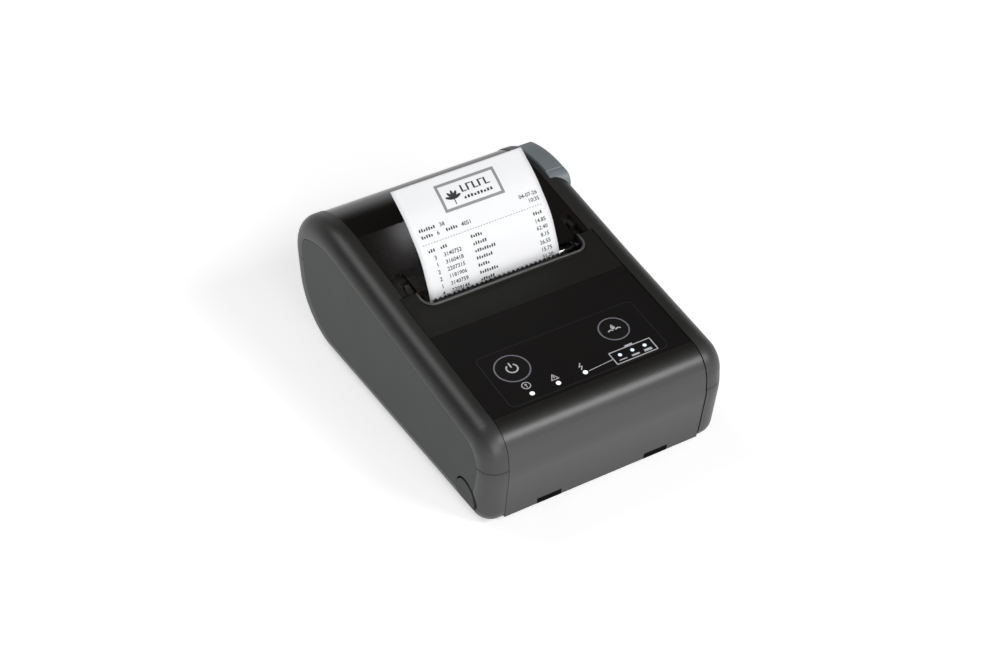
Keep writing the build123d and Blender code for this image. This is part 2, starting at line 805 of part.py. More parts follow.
# Light guides run from the lamps on the board up to the sheet
with BuildPart() as light_guides:
    with BuildSketch(deck_plane(panel_board_drop - 0.8)):
        with Locations(*[(x, deck_place(lamp_y)) for x in lamp_xs]):
            Circle(lamp_radius)
        with Locations(*[(x, deck_place(level_lamp_y)) for x in level_lamp_xs]):
            Circle(level_lamp_radius)
    extrude(amount=panel_board_drop - 0.8 + sheet_emboss + 0.1)
save(light_guides, "light_guides")

with BuildPart() as indicator_lamps:
    with BuildSketch(deck_plane(panel_board_drop)):
        with Locations(*[(x, deck_place(lamp_y)) for x in lamp_xs]):
            Rectangle(2 * lamp_radius, 1.4 * lamp_radius)
        with Locations(*[(x, deck_place(level_lamp_y)) for x in level_lamp_xs]):
            Rectangle(2 * level_lamp_radius, 1.4 * level_lamp_radius)
    extrude(amount=lamp_height)
save(indicator_lamps, "indicator_lamps")

with BuildPart() as key_switches:
    with BuildSketch(deck_plane(panel_board_drop)):
        with Locations((power_x, 0), (feed_x, 0)):
            Rectangle(switch_size, switch_size)
    extrude(amount=switch_height - switch_cap_height)
    with BuildSketch(deck_plane(panel_board_drop - switch_height + switch_cap_height)):
        with Locations((power_x, 0), (feed_x, 0)):
            Circle(switch_cap_radius)
    extrude(amount=switch_cap_height)
save(key_switches, "key_switches")

with BuildPart() as panel_board:
    with BuildSketch(deck_plane(panel_board_drop + board_wall)):
        board_middle = (deck_place(panel_board_rear) + deck_place(panel_board_front)) / 2
        with Locations((0, board_middle)):
            Rectangle(2 * panel_board_half, deck_place(panel_board_rear) - deck_place(panel_board_front))
    extrude(amount=board_wall)
save(panel_board, "panel_board")

# Roll cover: smoked shell from the paper exit over the crown to the hinge
with BuildPart() as roll_cover:
    with BuildSketch(Plane.YZ):
        side_outline(centre_toe_radius, -centre_step)
    extrude(amount=cover_half, both=True)
    add(centre_core.part, mode=Mode.SUBTRACT)
    with Locations((0, cover_front_y - body_length, 0)):
        Box(body_width, 2 * body_length, 3 * body_height, mode=Mode.SUBTRACT)
    with Locations((0, 0, cover_tail_z)):
        Box(body_width, 2 * body_length, 2 * body_height, mode=Mode.SUBTRACT,
            align=(Align.CENTER, Align.CENTER, Align.MAX))
    notch_width = cover_notch_outer - cover_notch_inner
    notch_x = (cover_notch_outer + cover_notch_inner) / 2
    for side in (-1, 1):
        with BuildSketch(Plane.XY):
            with Locations((side * notch_x, cover_front_y)):
                RectangleRounded(notch_width, 2 * cover_notch_length, 1.0)
        extrude(amount=2 * body_height, mode=Mode.SUBTRACT)
save(roll_cover, "roll_cover")

# Cover frame: two arms under the cover that carry the platen, joined by cross bars
with BuildPart() as cover_frame:
    with BuildSketch(Plane.YZ):
        side_outline(centre_toe_radius, -centre_step - shell_wall - seat_gap)
        with BuildSketch(Plane.XY, mode=Mode.PRIVATE) as arm_profile:
            side_outline(centre_toe_radius, -centre_step - shell_wall - arm_depth)
        add(arm_profile.sketch, mode=Mode.SUBTRACT)
        with Locations((roll_y, -body_height + hinge_z + knuckle_radius)):
            Rectangle(2 * body_length, 2 * body_height, mode=Mode.SUBTRACT)
        with Locations((platen_y + neck_width / 2 - body_length, body_height / 2)):
            Rectangle(2 * body_length, 2 * body_height, mode=Mode.SUBTRACT)
        with Locations((platen_y, platen_z)):
            Circle(bush_radius + bush_wall)
        with Locations((platen_y + neck_width / 2, platen_z + neck_height / 2 - 1)):
            Rectangle(neck_width, neck_height)
        with Locations((hinge_y, hinge_z)):
            Circle(knuckle_radius)
            Rectangle(2 * knuckle_radius, 2 * arm_depth, align=(Align.CENTER, Align.MIN))
        with BuildSketch(Plane.XY, mode=Mode.PRIVATE) as core_profile:
            side_outline(centre_toe_radius, -centre_step - shell_wall - seat_gap)
        add(core_profile.sketch, mode=Mode.INTERSECT)
        with Locations((platen_y, platen_z)):
            Circle(bush_radius + fit_gap, mode=Mode.SUBTRACT)
        with Locations((hinge_y, hinge_z)):
            Circle(hinge_pin_radius + fit_gap, mode=Mode.SUBTRACT)
    extrude(amount=arm_inner_x + arm_wall, both=True)
    Box(2 * arm_inner_x, 3 * body_length, 3 * body_height, mode=Mode.SUBTRACT)
    # Cross bars just under the cover
    for y in bar_ys:
        with BuildSketch(Plane.YZ):
            side_outline(centre_toe_radius, -centre_step - shell_wall - seat_gap)
            with BuildSketch(Plane.XY, mode=Mode.PRIVATE) as bar_profile:
                side_outline(centre_toe_radius, -centre_step - shell_wall - bar_depth)
            add(bar_profile.sketch, mode=Mode.SUBTRACT)
            with Locations((y, body_height)):
                Rectangle(bar_width, 2 * body_height - 2 * hinge_z, mode=Mode.INTERSECT)
        extrude(amount=arm_inner_x + 0.5, both=True)
save(cover_frame, "cover_frame")

# Hinge pin through the case's knuckles and the frame's arms
with BuildPart() as hinge_pin:
    with BuildSketch(Plane.YZ):
        with Locations((hinge_y, hinge_z)):
            Circle(hinge_pin_radius)
    extrude(amount=cover_half - rim_clearance, both=True)
save(hinge_pin, "hinge_pin")

# Torsion springs on the hinge pin lift the released cover
with BuildPart() as cover_springs:
    for side in (-1, 1):
        with BuildLine() as coil:
            Helix(pitch=lift_spring_pitch, height=lift_spring_turns * lift_spring_pitch,
                  radius=hinge_pin_radius + 2 * lift_spring_wire,
                  center=(side * lift_spring_x, hinge_y, hinge_z), direction=(1, 0, 0))
        with BuildSketch(Plane(origin=coil.line @ 0, z_dir=coil.line % 0)):
            Circle(lift_spring_wire)
        sweep(path=coil.line, is_frenet=True)
save(cover_springs, "cover_springs")

# Platen: rubber on a steel shaft in two bushes, with its gear at the right
with BuildPart() as platen_shaft:
    with BuildSketch(Plane.YZ):
        with Locations((platen_y, platen_z)):
            Circle(shaft_radius)
    extrude(amount=shaft_half, both=True)
save(platen_shaft, "platen_shaft")

with BuildPart() as platen_roller:
    with BuildSketch(Plane.YZ.offset(paper_middle)):
        with Locations((platen_y, platen_z)):
            Circle(platen_radius)
            Circle(shaft_radius + press_gap, mode=Mode.SUBTRACT)
    extrude(amount=paper_width / 2 + 0.8, both=True)
save(platen_roller, "platen_roller")

with BuildPart() as platen_bushes:
    for side in (-1, 1):
        with BuildSketch(Plane.YZ.offset(side * (arm_inner_x + arm_wall / 2))):
            with Locations((platen_y, platen_z)):
                Circle(bush_radius)
                Circle(shaft_radius + fit_gap, mode=Mode.SUBTRACT)
        extrude(amount=bush_length / 2, both=True)
save(platen_bushes, "platen_bushes")

# Gear train at the right: motor pinion, double reduction gear, platen gear
first_distance = gear_module * (pinion_teeth + large_teeth) / 2 + gear_play
second_distance = gear_module * (small_teeth + platen_teeth) / 2 + gear_play
motor_to_platen = hypot(platen_y - motor_y, platen_z - motor_z)
motor_to_platen_angle = atan2(platen_z - motor_z, platen_y - motor_y)
train_angle = acos((first_distance ** 2 + motor_to_platen ** 2 - second_distance ** 2)
                   / (2 * first_distance * motor_to_platen))
first_angle = motor_to_platen_angle - train_angle
reduction_y = motor_y + first_distance * cos(first_angle)
reduction_z = motor_z + first_distance * sin(first_angle)
second_angle = atan2(platen_z - reduction_z, platen_y - reduction_y)


def gear_outline(teeth, y, z, turn, bore):
    """A spur gear in side view, one tooth pointing along the given angle in radians."""
    root = gear_module * (teeth / 2 - 1.15)
    tip = gear_module * (teeth / 2 + 0.85)
    root_half = 0.26 * pi * gear_module
    tip_half = 0.12 * pi * gear_module
    with Locations((y, z)):
        Circle(root)
        with PolarLocations(0, teeth, start_angle=degrees(turn)):
            with BuildLine(mode=Mode.PRIVATE) as tooth_edge:
                Polyline((root - 0.3, -root_half), (root, -root_half), (tip, -tip_half),
                         (tip, tip_half), (root, root_half), (root - 0.3, root_half), close=True)
            tooth = make_face(tooth_edge.edges(), mode=Mode.PRIVATE)
            add(tooth)
        Circle(bore, mode=Mode.SUBTRACT)


with BuildPart() as motor_pinion:
    with BuildSketch(Plane.YZ.offset(gear_x)):
        gear_outline(pinion_teeth, motor_y, motor_z, first_angle, motor_shaft_radius + press_gap)
    extrude(amount=gear_wall)
save(motor_pinion, "motor_pinion")

with BuildPart() as reduction_gear:
    with BuildSketch(Plane.YZ.offset(gear_x)):
        gear_outline(large_teeth, reduction_y, reduction_z,
                     first_angle + pi + pi / large_teeth, latch_shaft_radius + fit_gap)
    extrude(amount=gear_wall)
    with BuildSketch(Plane.YZ.offset(gear_x + gear_wall)):
        gear_outline(small_teeth, reduction_y, reduction_z, second_angle,
                     latch_shaft_radius + fit_gap)
    extrude(amount=gear_wall)
save(reduction_gear, "reduction_gear")

with BuildPart() as platen_gear:
    with BuildSketch(Plane.YZ.offset(gear_x + gear_wall + 0.1)):
        gear_outline(platen_teeth, platen_y, platen_z,
                     second_angle + pi + pi / platen_teeth, shaft_radius + press_gap)
    extrude(amount=gear_wall - 0.2)
save(platen_gear, "platen_gear")

with BuildPart() as feed_motor:
    with BuildSketch(Plane.YZ.offset(frame_right_x - frame_wall)):
        with Locations((motor_y, motor_z)):
            Circle(motor_radius)
    extrude(amount=-motor_length)
    with BuildSketch(Plane.YZ.offset(frame_right_x - frame_wall - 1)):
        with Locations((motor_y, motor_z)):
            Circle(motor_shaft_radius)
    extrude(amount=1 + frame_wall + gear_x - frame_right_x + gear_wall)
save(feed_motor, "feed_motor")

# Mechanism frame: a folded steel cradle for head, motor, gears and latch
with BuildPart() as mechanism_frame:
    frame_middle_y = (frame_front_y + frame_rear_y) / 2
    frame_middle_x = (frame_left_x + frame_right_x) / 2
    with Locations((frame_middle_x, frame_middle_y, frame_low_z)):
        Box(frame_right_x - frame_left_x, frame_rear_y - frame_front_y, frame_wall,
            align=(Align.CENTER, Align.CENTER, Align.MIN))
    with BuildSketch(Plane.YZ.offset(frame_left_x)) as cheek:
        with BuildLine():
            FilletPolyline(
                (frame_front_y, frame_low_z),
                (frame_front_y, motor_z + motor_radius),
                (back_plate_y - 2, frame_top_z),
                (platen_y + 4.4, frame_top_z),
                (frame_rear_y, frame_low_z),
                radius=[0.8, 3, 3, 2, 0.8],
                close=True,
            )
        make_face()
        with Locations((platen_y, platen_z)):
            SlotCenterToCenter(2 * frame_wall, 2 * (shaft_radius + loose_gap), rotation=90,
                               mode=Mode.SUBTRACT)
        with Locations((platen_y, platen_z + frame_top_z / 2)):
            Rectangle(2 * (shaft_radius + loose_gap), frame_top_z, mode=Mode.SUBTRACT)
        with Locations((latch_y, latch_z)):
            Circle(latch_shaft_radius + fit_gap, mode=Mode.SUBTRACT)
    extrude(amount=frame_wall)
    with BuildSketch(Plane.YZ.offset(frame_right_x - frame_wall)):
        add(cheek.sketch_local)
        with Locations((motor_y, motor_z)):
            Circle(motor_shaft_radius + loose_gap, mode=Mode.SUBTRACT)
    extrude(amount=frame_wall)
    with Locations((frame_middle_x, back_plate_y, (back_plate_low_z + frame_top_z) / 2)):
        Box(frame_right_x - frame_left_x, frame_wall, frame_top_z - back_plate_low_z,
            align=(Align.CENTER, Align.MAX, Align.CENTER))
    with BuildSketch(Plane.YZ.offset(frame_right_x - 0.5)):
        with Locations((reduction_y, reduction_z)):
            Circle(latch_shaft_radius)
    extrude(amount=0.5 + gear_x - frame_right_x + 2 * gear_wall + 0.2)
    with Locations(*[(x, y, frame_low_z) for x in frame_screw_xs for y in frame_screw_ys]):
        Cylinder(screw_radius + fit_gap, 4 * frame_wall, mode=Mode.SUBTRACT)
save(mechanism_frame, "mechanism_frame")

# Head: ceramic strip on its aluminium carrier, pressed by two springs
with BuildPart() as print_head:
    with Locations((paper_middle, head_y, head_low_z)):
        Box(head_width, head_wall, head_top_z - head_low_z,
            align=(Align.CENTER, Align.MAX, Align.MIN))
save(print_head, "print_head")

with BuildPart() as head_carrier:
    with Locations((paper_middle, sink_y, sink_low_z)):
        Box(head_width, sink_wall, head_top_z - sink_low_z,
            align=(Align.CENTER, Align.MAX, Align.MIN))
    chamfer(head_carrier.edges().filter_by(Axis.X).group_by(Axis.Z)[0], length=0.6)
save(head_carrier, "head_carrier")

with BuildPart() as head_springs:
    for side in (-1, 1):
        with BuildLine() as coil:
            Helix(pitch=spring_pitch, height=spring_length - 2 * spring_wire - 2 * seat_gap,
                  radius=spring_radius,
                  center=(paper_middle + side * spring_spacing / 2, spring_y - spring_wire - seat_gap,
                          spring_z),
                  direction=(0, -1, 0))
        with BuildSketch(Plane(origin=coil.line @ 0, z_dir=coil.line % 0)):
            Circle(spring_wire)
        sweep(path=coil.line, is_frenet=True)
save(head_springs, "head_springs")

# Flat cable from the head's foot to the main board
with BuildPart() as head_cable:
    with BuildSketch(Plane.YZ.offset(paper_middle)):
        with BuildLine() as cable_line:
            FilletPolyline(
                (sink_y - sink_wall / 2, sink_low_z - cable_wall),
                (sink_y - sink_wall / 2, cable_run_z),
                (cable_foot_y, cable_run_z),
                (cable_foot_y, board_top_z + plug_height / 2),
                radius=1.0,
            )
            offset(amount=cable_wall / 2, side=Side.BOTH)
        make_face()
    extrude(amount=cable_half, both=True)
    with Locations((paper_middle, cable_foot_y, board_top_z + 0.02)):
        Box(plug_width, plug_length, plug_height, align=(Align.CENTER, Align.CENTER, Align.MIN))
save(head_cable, "head_cable")

# Latch: two hooks over the platen shaft, turned together by the lever through a link
with BuildPart() as latch_shaft:
    with BuildSketch(Plane.YZ.offset(-hook_x - hook_wall - 0.8)):
        with Locations((latch_y, latch_z)):
            Circle(latch_shaft_radius)
    extrude(amount=hook_x + hook_wall + 0.8 + link_x + link_wall + 0.3 + hook_wall)
save(latch_shaft, "latch_shaft")

with BuildPart() as latch_hooks:
    with BuildSketch(Plane.YZ.offset(hook_x)):
        with BuildLine():
            FilletPolyline(
                (platen_y - shaft_radius - hook_gap, platen_z + shaft_radius - hook_nose / 2),
                (platen_y - shaft_radius - hook_gap, platen_z + shaft_radius + hook_nose / 2),
                (platen_y - shaft_radius - hook_nose, platen_z + shaft_radius + hook_nose),
                (latch_y - hook_boss_radius, latch_z),
                (latch_y, latch_z - hook_boss_radius),
                (latch_y + hook_boss_radius, latch_z),
                (platen_y - shaft_radius - hook_depth, platen_z - 5),
                (platen_y - shaft_radius - hook_depth, platen_z + 1),
                radius=[0.25, 0.5, 1.0, 2.5, 2.5, 2.5, 2.5, 0.3],
                close=True,
            )
        make_face()
        with Locations((latch_y, latch_z)):
            Circle(latch_shaft_radius + press_gap, mode=Mode.SUBTRACT)
    extrude(amount=hook_wall)
    mirror(about=Plane.YZ)
save(latch_hooks, "latch_hooks")

with BuildPart() as latch_crank:
    crank_x = link_x + link_wall + 0.2
    with BuildSketch(Plane.YZ.offset(crank_x)):
        with Locations((latch_y, latch_z - crank_arm / 2)):
            SlotCenterToCenter(crank_arm, crank_width, rotation=90)
        with Locations((latch_y, latch_z)):
            Circle(latch_shaft_radius + press_gap, mode=Mode.SUBTRACT)
    extrude(amount=hook_wall)
    with BuildSketch(Plane.YZ.offset(link_x - 0.2)):
        with Locations((latch_y, latch_z - crank_arm)):
            Circle(link_pin_radius)
    extrude(amount=crank_x - link_x + 0.4)
save(latch_crank, "latch_crank")

# Link: a flat bar in the right rim from the lever's arm down to the crank
lever_arm_y = lever_front_y
lever_arm_z = lever_pivot_z - lever_arm
with BuildPart() as lever_link:
    link_rise = lever_arm_z - (latch_z - crank_arm)
    link_run = lever_arm_y - latch_y
    with BuildSketch(Plane.YZ.offset(link_x)):
        with Locations(((lever_arm_y + latch_y) / 2, (lever_arm_z + latch_z - crank_arm) / 2)):
            SlotCenterToCenter(hypot(link_rise, link_run), link_bar_width,
                               rotation=degrees(atan2(link_rise, link_run)))
        with Locations((lever_arm_y, lever_arm_z), (latch_y, latch_z - crank_arm)):
            Circle(link_eye_radius)
            SlotOverall(2 * link_pin_radius + 1.5, 2 * (link_pin_radius + 0.12), rotation=90,
                        mode=Mode.SUBTRACT)
    extrude(amount=link_wall)
save(lever_link, "lever_link")

# Open lever: a curved plate over the right rim with its boss, arm and pin inside
with BuildPart() as open_lever:
    with BuildSketch(Plane.YZ.offset(lever_x)):
        side_outline(rim_toe_radius, lever_proud)
    extrude(amount=half_width - lever_x)
    fillet(open_lever.faces().sort_by(Axis.X)[-1].edges(), radius=lever_edge_radius)
    with BuildSketch(Plane.YZ.offset(lever_x - cut_past)):
        side_outline(rim_toe_radius, -lever_wall)
    extrude(amount=cut_past + cavity_half - rim_clearance - lever_x, mode=Mode.SUBTRACT)
    with BuildSketch(Plane.YZ.offset(lever_x - cut_past)):
        lever_outline()
    extrude(amount=half_width, mode=Mode.INTERSECT)
    boss_length = cavity_half - 0.4 - lever_x - 0.4
    with BuildSketch(Plane.YZ.offset(lever_x + 0.4)):
        with Locations((lever_front_y, lever_pivot_z)):
            Circle(lever_boss_radius)
            Rectangle(lever_arm_width, lever_end_radius - 1, align=(Align.CENTER, Align.MIN))
    extrude(amount=boss_length)
    with BuildSketch(Plane.YZ.offset(crank_x)):
        with Locations((lever_arm_y, lever_pivot_z - lever_arm / 2)):
            SlotCenterToCenter(lever_arm, lever_arm_width, rotation=90)
    extrude(amount=1.6)
    with BuildSketch(Plane.YZ.offset(link_x - 0.2)):
        with Locations((lever_arm_y, lever_arm_z)):
            Circle(link_pin_radius)
    extrude(amount=crank_x - link_x + 0.4)
    with BuildSketch(Plane.YZ.offset(lever_x - cut_past)):
        with Locations((lever_front_y, lever_pivot_z)):
            Circle(lever_pivot_radius + fit_gap)
    extrude(amount=1.4 + boss_length + press_gap, mode=Mode.SUBTRACT)
save(open_lever, "open_lever")

with BuildPart() as lever_pin:
    with BuildSketch(Plane.YZ.offset(inner_wall_x - 0.4)):
        with Locations((lever_front_y, lever_pivot_z)):
            Circle(lever_pivot_radius - press_gap)
    extrude(amount=lever_x + 0.4 + boss_length - 0.2 - inner_wall_x)
save(lever_pin, "lever_pin")

# Roll tub, paper roll and its core
with BuildPart() as roll_tub:
    with BuildSketch(Plane.YZ.offset(paper_middle)):
        with Locations((roll_y, roll_z)):
            Circle(tub_radius + tub_wall)
    extrude(amount=tub_half + tub_wall, both=True)
    with BuildSketch(Plane.YZ.offset(paper_middle)):
        with Locations((roll_y, roll_z)):
            Circle(tub_radius)
    extrude(amount=tub_half, both=True, mode=Mode.SUBTRACT)
    with Locations((0, roll_y, tub_top_z)):
        Box(body_width, body_length, body_height, mode=Mode.SUBTRACT,
            align=(Align.CENTER, Align.CENTER, Align.MIN))
save(roll_tub, "roll_tub")

with BuildPart() as paper_roll:
    with BuildSketch(Plane.YZ.offset(paper_middle)):
        with Locations((roll_y, roll_z)):
            Circle(roll_radius)
            Circle(core_radius + press_gap, mode=Mode.SUBTRACT)
    extrude(amount=paper_width / 2, both=True)
save(paper_roll, "paper_roll")

with BuildPart() as roll_core:
    with BuildSketch(Plane.YZ.offset(paper_middle)):
        with Locations((roll_y, roll_z)):
            Circle(core_radius)
            Circle(core_radius - core_wall, mode=Mode.SUBTRACT)
    extrude(amount=paper_width / 2 + 0.2, both=True)
save(roll_core, "roll_core")

# Paper web: leaves the top of the roll, passes under the platen and turns up at the head
web_radius = roll_radius + roll_gap + paper_wall / 2
web_reach = hypot(roll_y - paper_y, roll_z - web_corner_z)
web_length = (web_reach ** 2 - web_radius ** 2) ** 0.5
web_angle = atan2(roll_z - web_corner_z, roll_y - paper_y) + acos(web_length / web_reach)
with BuildPart() as paper_web:
    with BuildSketch(Plane.YZ.offset(paper_middle)):
        with BuildLine() as web_line:
            FilletPolyline(
                (paper_y + web_length * cos(web_angle), web_corner_z + web_length * sin(web_angle)),
                (paper_y, web_corner_z),
                (paper_y, platen_z - 1.6),
                radius=web_turn,
            )
            offset(amount=paper_wall / 2, side=Side.BOTH)
        make_face()
    extrude(amount=paper_width / 2, both=True)
save(paper_web, "paper_web")

# Receipt: the printed strip rises from the nip, leans back and curls over the cover
with BuildPart() as receipt:
    with BuildSketch(Plane.YZ.offset(paper_middle)):
        with BuildLine() as receipt_line:
            FilletPolyline(
                (paper_y, platen_z - 1.2),
                (paper_y, receipt_bend_z),
                *receipt_points,
                radius=receipt_radii,
            )
            offset(amount=paper_wall / 2, side=Side.BOTH)
        make_face()
    extrude(amount=paper_width / 2, both=True)
save(receipt, "receipt")

# Tear blade: toothed steel strip on the rear edge of the exit's floor
with BuildPart() as tear_blade:
    blade_low_z = slot_top_z - slot_floor_drop - slot_floor_wall + 0.2
    blade_teeth = round(2 * blade_half / blade_tooth_pitch)
    with BuildSketch(Plane(origin=(0, slot_rear_y + 0.02, 0), x_dir=(1, 0, 0), z_dir=(0, -1, 0))):
        with BuildLine():
            edge_points = [(-blade_half, blade_low_z)]
            for tooth in range(blade_teeth):
                start = -blade_half + tooth * blade_tooth_pitch
                edge_points.append((start, blade_low_z + blade_height - blade_tooth))
                edge_points.append((start + blade_tooth_pitch / 2, blade_low_z + blade_height))
            edge_points.append((blade_half, blade_low_z + blade_height - blade_tooth))
            edge_points.append((blade_half, blade_low_z))
            Polyline(*edge_points, close=True)
        make_face()
    extrude(amount=-blade_wall)
save(tear_blade, "tear_blade")

# Main board with its parts
with BuildPart() as main_board:
    with Locations((0, board_rear_y, board_low_z)):
        Box(2 * board_half, board_rear_y - board_front_y, board_wall,
            align=(Align.CENTER, Align.MAX, Align.MIN))
    with Locations((board_half - 1, port_y, board_low_z)):
        Box(port_tongue_x - board_half + 1, usb_width + 2, board_wall,
            align=(Align.MIN, Align.CENTER, Align.MIN))
    with Locations(*[(x, y, board_low_z) for x in (-board_screw_x, board_screw_x)
                     for y in board_screw_ys]):
        Cylinder(screw_radius + fit_gap, 4 * board_wall, mode=Mode.SUBTRACT)
save(main_board, "main_board")

with BuildPart() as usb_socket:
    usb_length = cavity_half - 0.3 - board_half - 5
    with Locations((cavity_half - 0.3, port_y, board_top_z)):
        Box(usb_length, usb_width, usb_height, align=(Align.MAX, Align.CENTER, Align.MIN))
    with Locations((cavity_half - 0.3, port_y, port_z)):
        Box(2 * usb_length - 3, usb_width - 0.8, usb_height - 0.8, mode=Mode.SUBTRACT)
    with Locations((cavity_half - 1.3, port_y, port_z)):
        Box(usb_length - 1.5, usb_width - 3, 0.7, align=(Align.MAX, Align.CENTER, Align.CENTER))
save(usb_socket, "usb_socket")

with BuildPart() as radio_module:
    with Locations((radio_x, radio_y, board_top_z)):
        Box(radio_width, radio_length, radio_board_wall,
            align=(Align.CENTER, Align.CENTER, Align.MIN))
        Box(radio_width - 6, radio_length - 2, radio_height,
            align=(Align.CENTER, Align.CENTER, Align.MIN))
    fillet(radio_module.edges().group_by(Axis.Z)[-1], radius=0.3)
save(radio_module, "radio_module")

with BuildPart() as buzzer:
    with Locations((buzzer_x, buzzer_y, board_top_z)):
        Cylinder(buzzer_radius, buzzer_height, align=(Align.CENTER, Align.CENTER, Align.MIN))
    fillet(buzzer.edges().group_by(Axis.Z)[-1], radius=0.4)
    with Locations((buzzer_x, buzzer_y, board_top_z + buzzer_height / 2)):
        Cylinder(buzzer_radius / 5, buzzer_height, mode=Mode.SUBTRACT,
                 align=(Align.CENTER, Align.CENTER, Align.MIN))
save(buzzer, "buzzer")

# Battery pack, its contacts and its catch
with BuildPart() as battery_pack:
    with Locations((0, bay_middle_y, battery_low_z)):
        Box(2 * battery_half, battery_rear_y - battery_front_y, battery_top_z - battery_low_z,
            align=(Align.CENTER, Align.CENTER, Align.MIN))
    fillet(battery_pack.edges().filter_by(Axis.Z), radius=2.0)
    fillet(battery_pack.edges().group_by(Axis.Z)[-1], radius=1.0)
    with Locations((0, battery_front_y, battery_low_z + catch_wall - loose_gap)):
        Box(catch_half + 2 * loose_gap, 2 * 1.6, catch_wall + 2 * loose_gap, mode=Mode.SUBTRACT,
            align=(Align.CENTER, Align.CENTER, Align.MIN))
    with Locations((0, contact_y, battery_top_z)):
        Box(contact_width - 2, contact_length - 2, 0.4, mode=Mode.SUBTRACT)
    for groove in range(5):
        with Locations((0, battery_rear_y - pack_grip_start - pack_grip_pitch * groove, battery_low_z)):
            Box(pack_grip_width, pack_grip_length, grip_depth, mode=Mode.SUBTRACT)
save(battery_pack, "battery_pack")

with BuildPart() as battery_contacts:
    with Locations((0, contact_y, bay_top_z + 0.1)):
        Box(contact_width, contact_length, board_low_z - bay_top_z - 0.1,
            align=(Align.CENTER, Align.CENTER, Align.MIN))
    with Locations((0, contact_y, bay_top_z + 0.6)):
        with GridLocations(3.6, 1, 4, 1):
            Cylinder(0.6, bay_top_z + 0.6 - battery_top_z - seat_gap,
                     align=(Align.CENTER, Align.CENTER, Align.MAX))
save(battery_contacts, "battery_contacts")

with BuildPart() as battery_catch:
    with Locations((0, catch_rear_y, battery_low_z)):
        Box(2 * catch_half, catch_length, catch_wall,
            align=(Align.CENTER, Align.MAX, Align.MIN))
    for groove in range(3):
        with Locations((0, catch_rear_y - 0.9 - groove, battery_low_z)):
            Box(2 * catch_half - 3, catch_grip_length, grip_depth, mode=Mode.SUBTRACT)
    with Locations((0, catch_rear_y - 1.8, battery_low_z + catch_wall)):
        Box(catch_half, catch_tongue, catch_wall, align=(Align.CENTER, Align.MIN, Align.MIN))
    with Locations((0, catch_rear_y - 0.4, case_wall + 0.1)):
        Box(2 * catch_half + 3.4, catch_flange, 0.8,
            align=(Align.CENTER, Align.MAX, Align.MIN))
    with Locations((0, catch_rear_y - 0.4, battery_low_z + catch_wall - 0.1)):
        Box(2 * catch_half, catch_flange, case_wall + 0.3 - battery_low_z - catch_wall,
            align=(Align.CENTER, Align.MAX, Align.MIN))
save(battery_catch, "battery_catch")

# Power jack with its rubber cap at the left, data port cap at the right
with BuildPart() as dc_jack:
    jack_face_x = -cavity_half + 0.1
    with Locations((jack_face_x, dc_y, dc_z)):
        Box(jack_length, jack_size, jack_size, align=(Align.MIN, Align.CENTER, Align.CENTER))
    with BuildSketch(Plane.YZ.offset(jack_face_x)):
        with Locations((dc_y, dc_z)):
            Circle(jack_bore_radius)
            Circle(jack_pin_radius, mode=Mode.SUBTRACT)
    extrude(amount=jack_length - 2, mode=Mode.SUBTRACT)
    with BuildPart(mode=Mode.PRIVATE) as jack_room:
        with BuildSketch(Plane.YZ):
            side_outline(rim_toe_radius, -case_wall - seat_gap)
        extrude(amount=cavity_half - seat_gap, both=True)
        fillet(jack_room.faces().sort_by(Axis.X)[0].edges(), radius=rim_radius - side_wall)
    add(jack_room.part, mode=Mode.INTERSECT)
save(dc_jack, "dc_jack")

with BuildPart() as dc_inlet_cap:
    with BuildSketch(Plane.YZ.offset(-half_width - cut_past)):
        with Locations((dc_y, dc_z)):
            Circle(cap_radius)
    extrude(amount=cut_past + cap_wall)
    add(envelope.part, mode=Mode.INTERSECT)
    with BuildSketch(Plane.YZ.offset(-half_width + cap_wall - 0.2)):
        with Locations((dc_y, dc_z)):
            Circle(cap_plug_radius)
    extrude(amount=0.2 + cap_plug_length)
save(dc_inlet_cap, "dc_inlet_cap")

with BuildPart() as port_cap:
    with BuildSketch(Plane.YZ.offset(half_width - panel_wall - 0.1)):
        with Locations((port_y, port_z)):
            RectangleRounded(port_width, port_height, 1.4)
    extrude(amount=panel_wall + seat_gap)
    fillet(port_cap.faces().sort_by(Axis.X)[-1].edges(), radius=0.3)
    with BuildSketch(Plane.YZ.offset(cavity_half + 0.2)):
        with Locations((port_y, port_z)):
            RectangleRounded(port_plug_width, port_plug_height, 0.9)
    extrude(amount=side_wall - panel_wall - 0.2)
save(port_cap, "port_cap")

# Sensors
with BuildPart() as paper_sensor:
    with Locations((sensor_x, sensor_y, frame_low_z + frame_wall)):
        Box(sensor_width, sensor_length, sensor_top_z - frame_low_z - frame_wall,
            align=(Align.CENTER, Align.CENTER, Align.MIN))
    chamfer(paper_sensor.edges().filter_by(Axis.X).group_by(Axis.Z)[-1], length=0.8)
save(paper_sensor, "paper_sensor")

with BuildPart() as cover_switch:
    switch_rear_y = cover_front_y - 3.5
    with Locations((inner_wall_x, switch_rear_y, cover_switch_z)):
        Box(cover_switch_wall, cover_switch_length, cover_switch_height,
            align=(Align.MAX, Align.MAX, Align.CENTER))
    with Locations((inner_wall_x - cover_switch_wall / 2, switch_rear_y - 0.2, cover_switch_z)):
        Cylinder(0.7, 2.0, rotation=(-90, 0, 0), align=(Align.CENTER, Align.CENTER, Align.MIN))
save(cover_switch, "cover_switch")

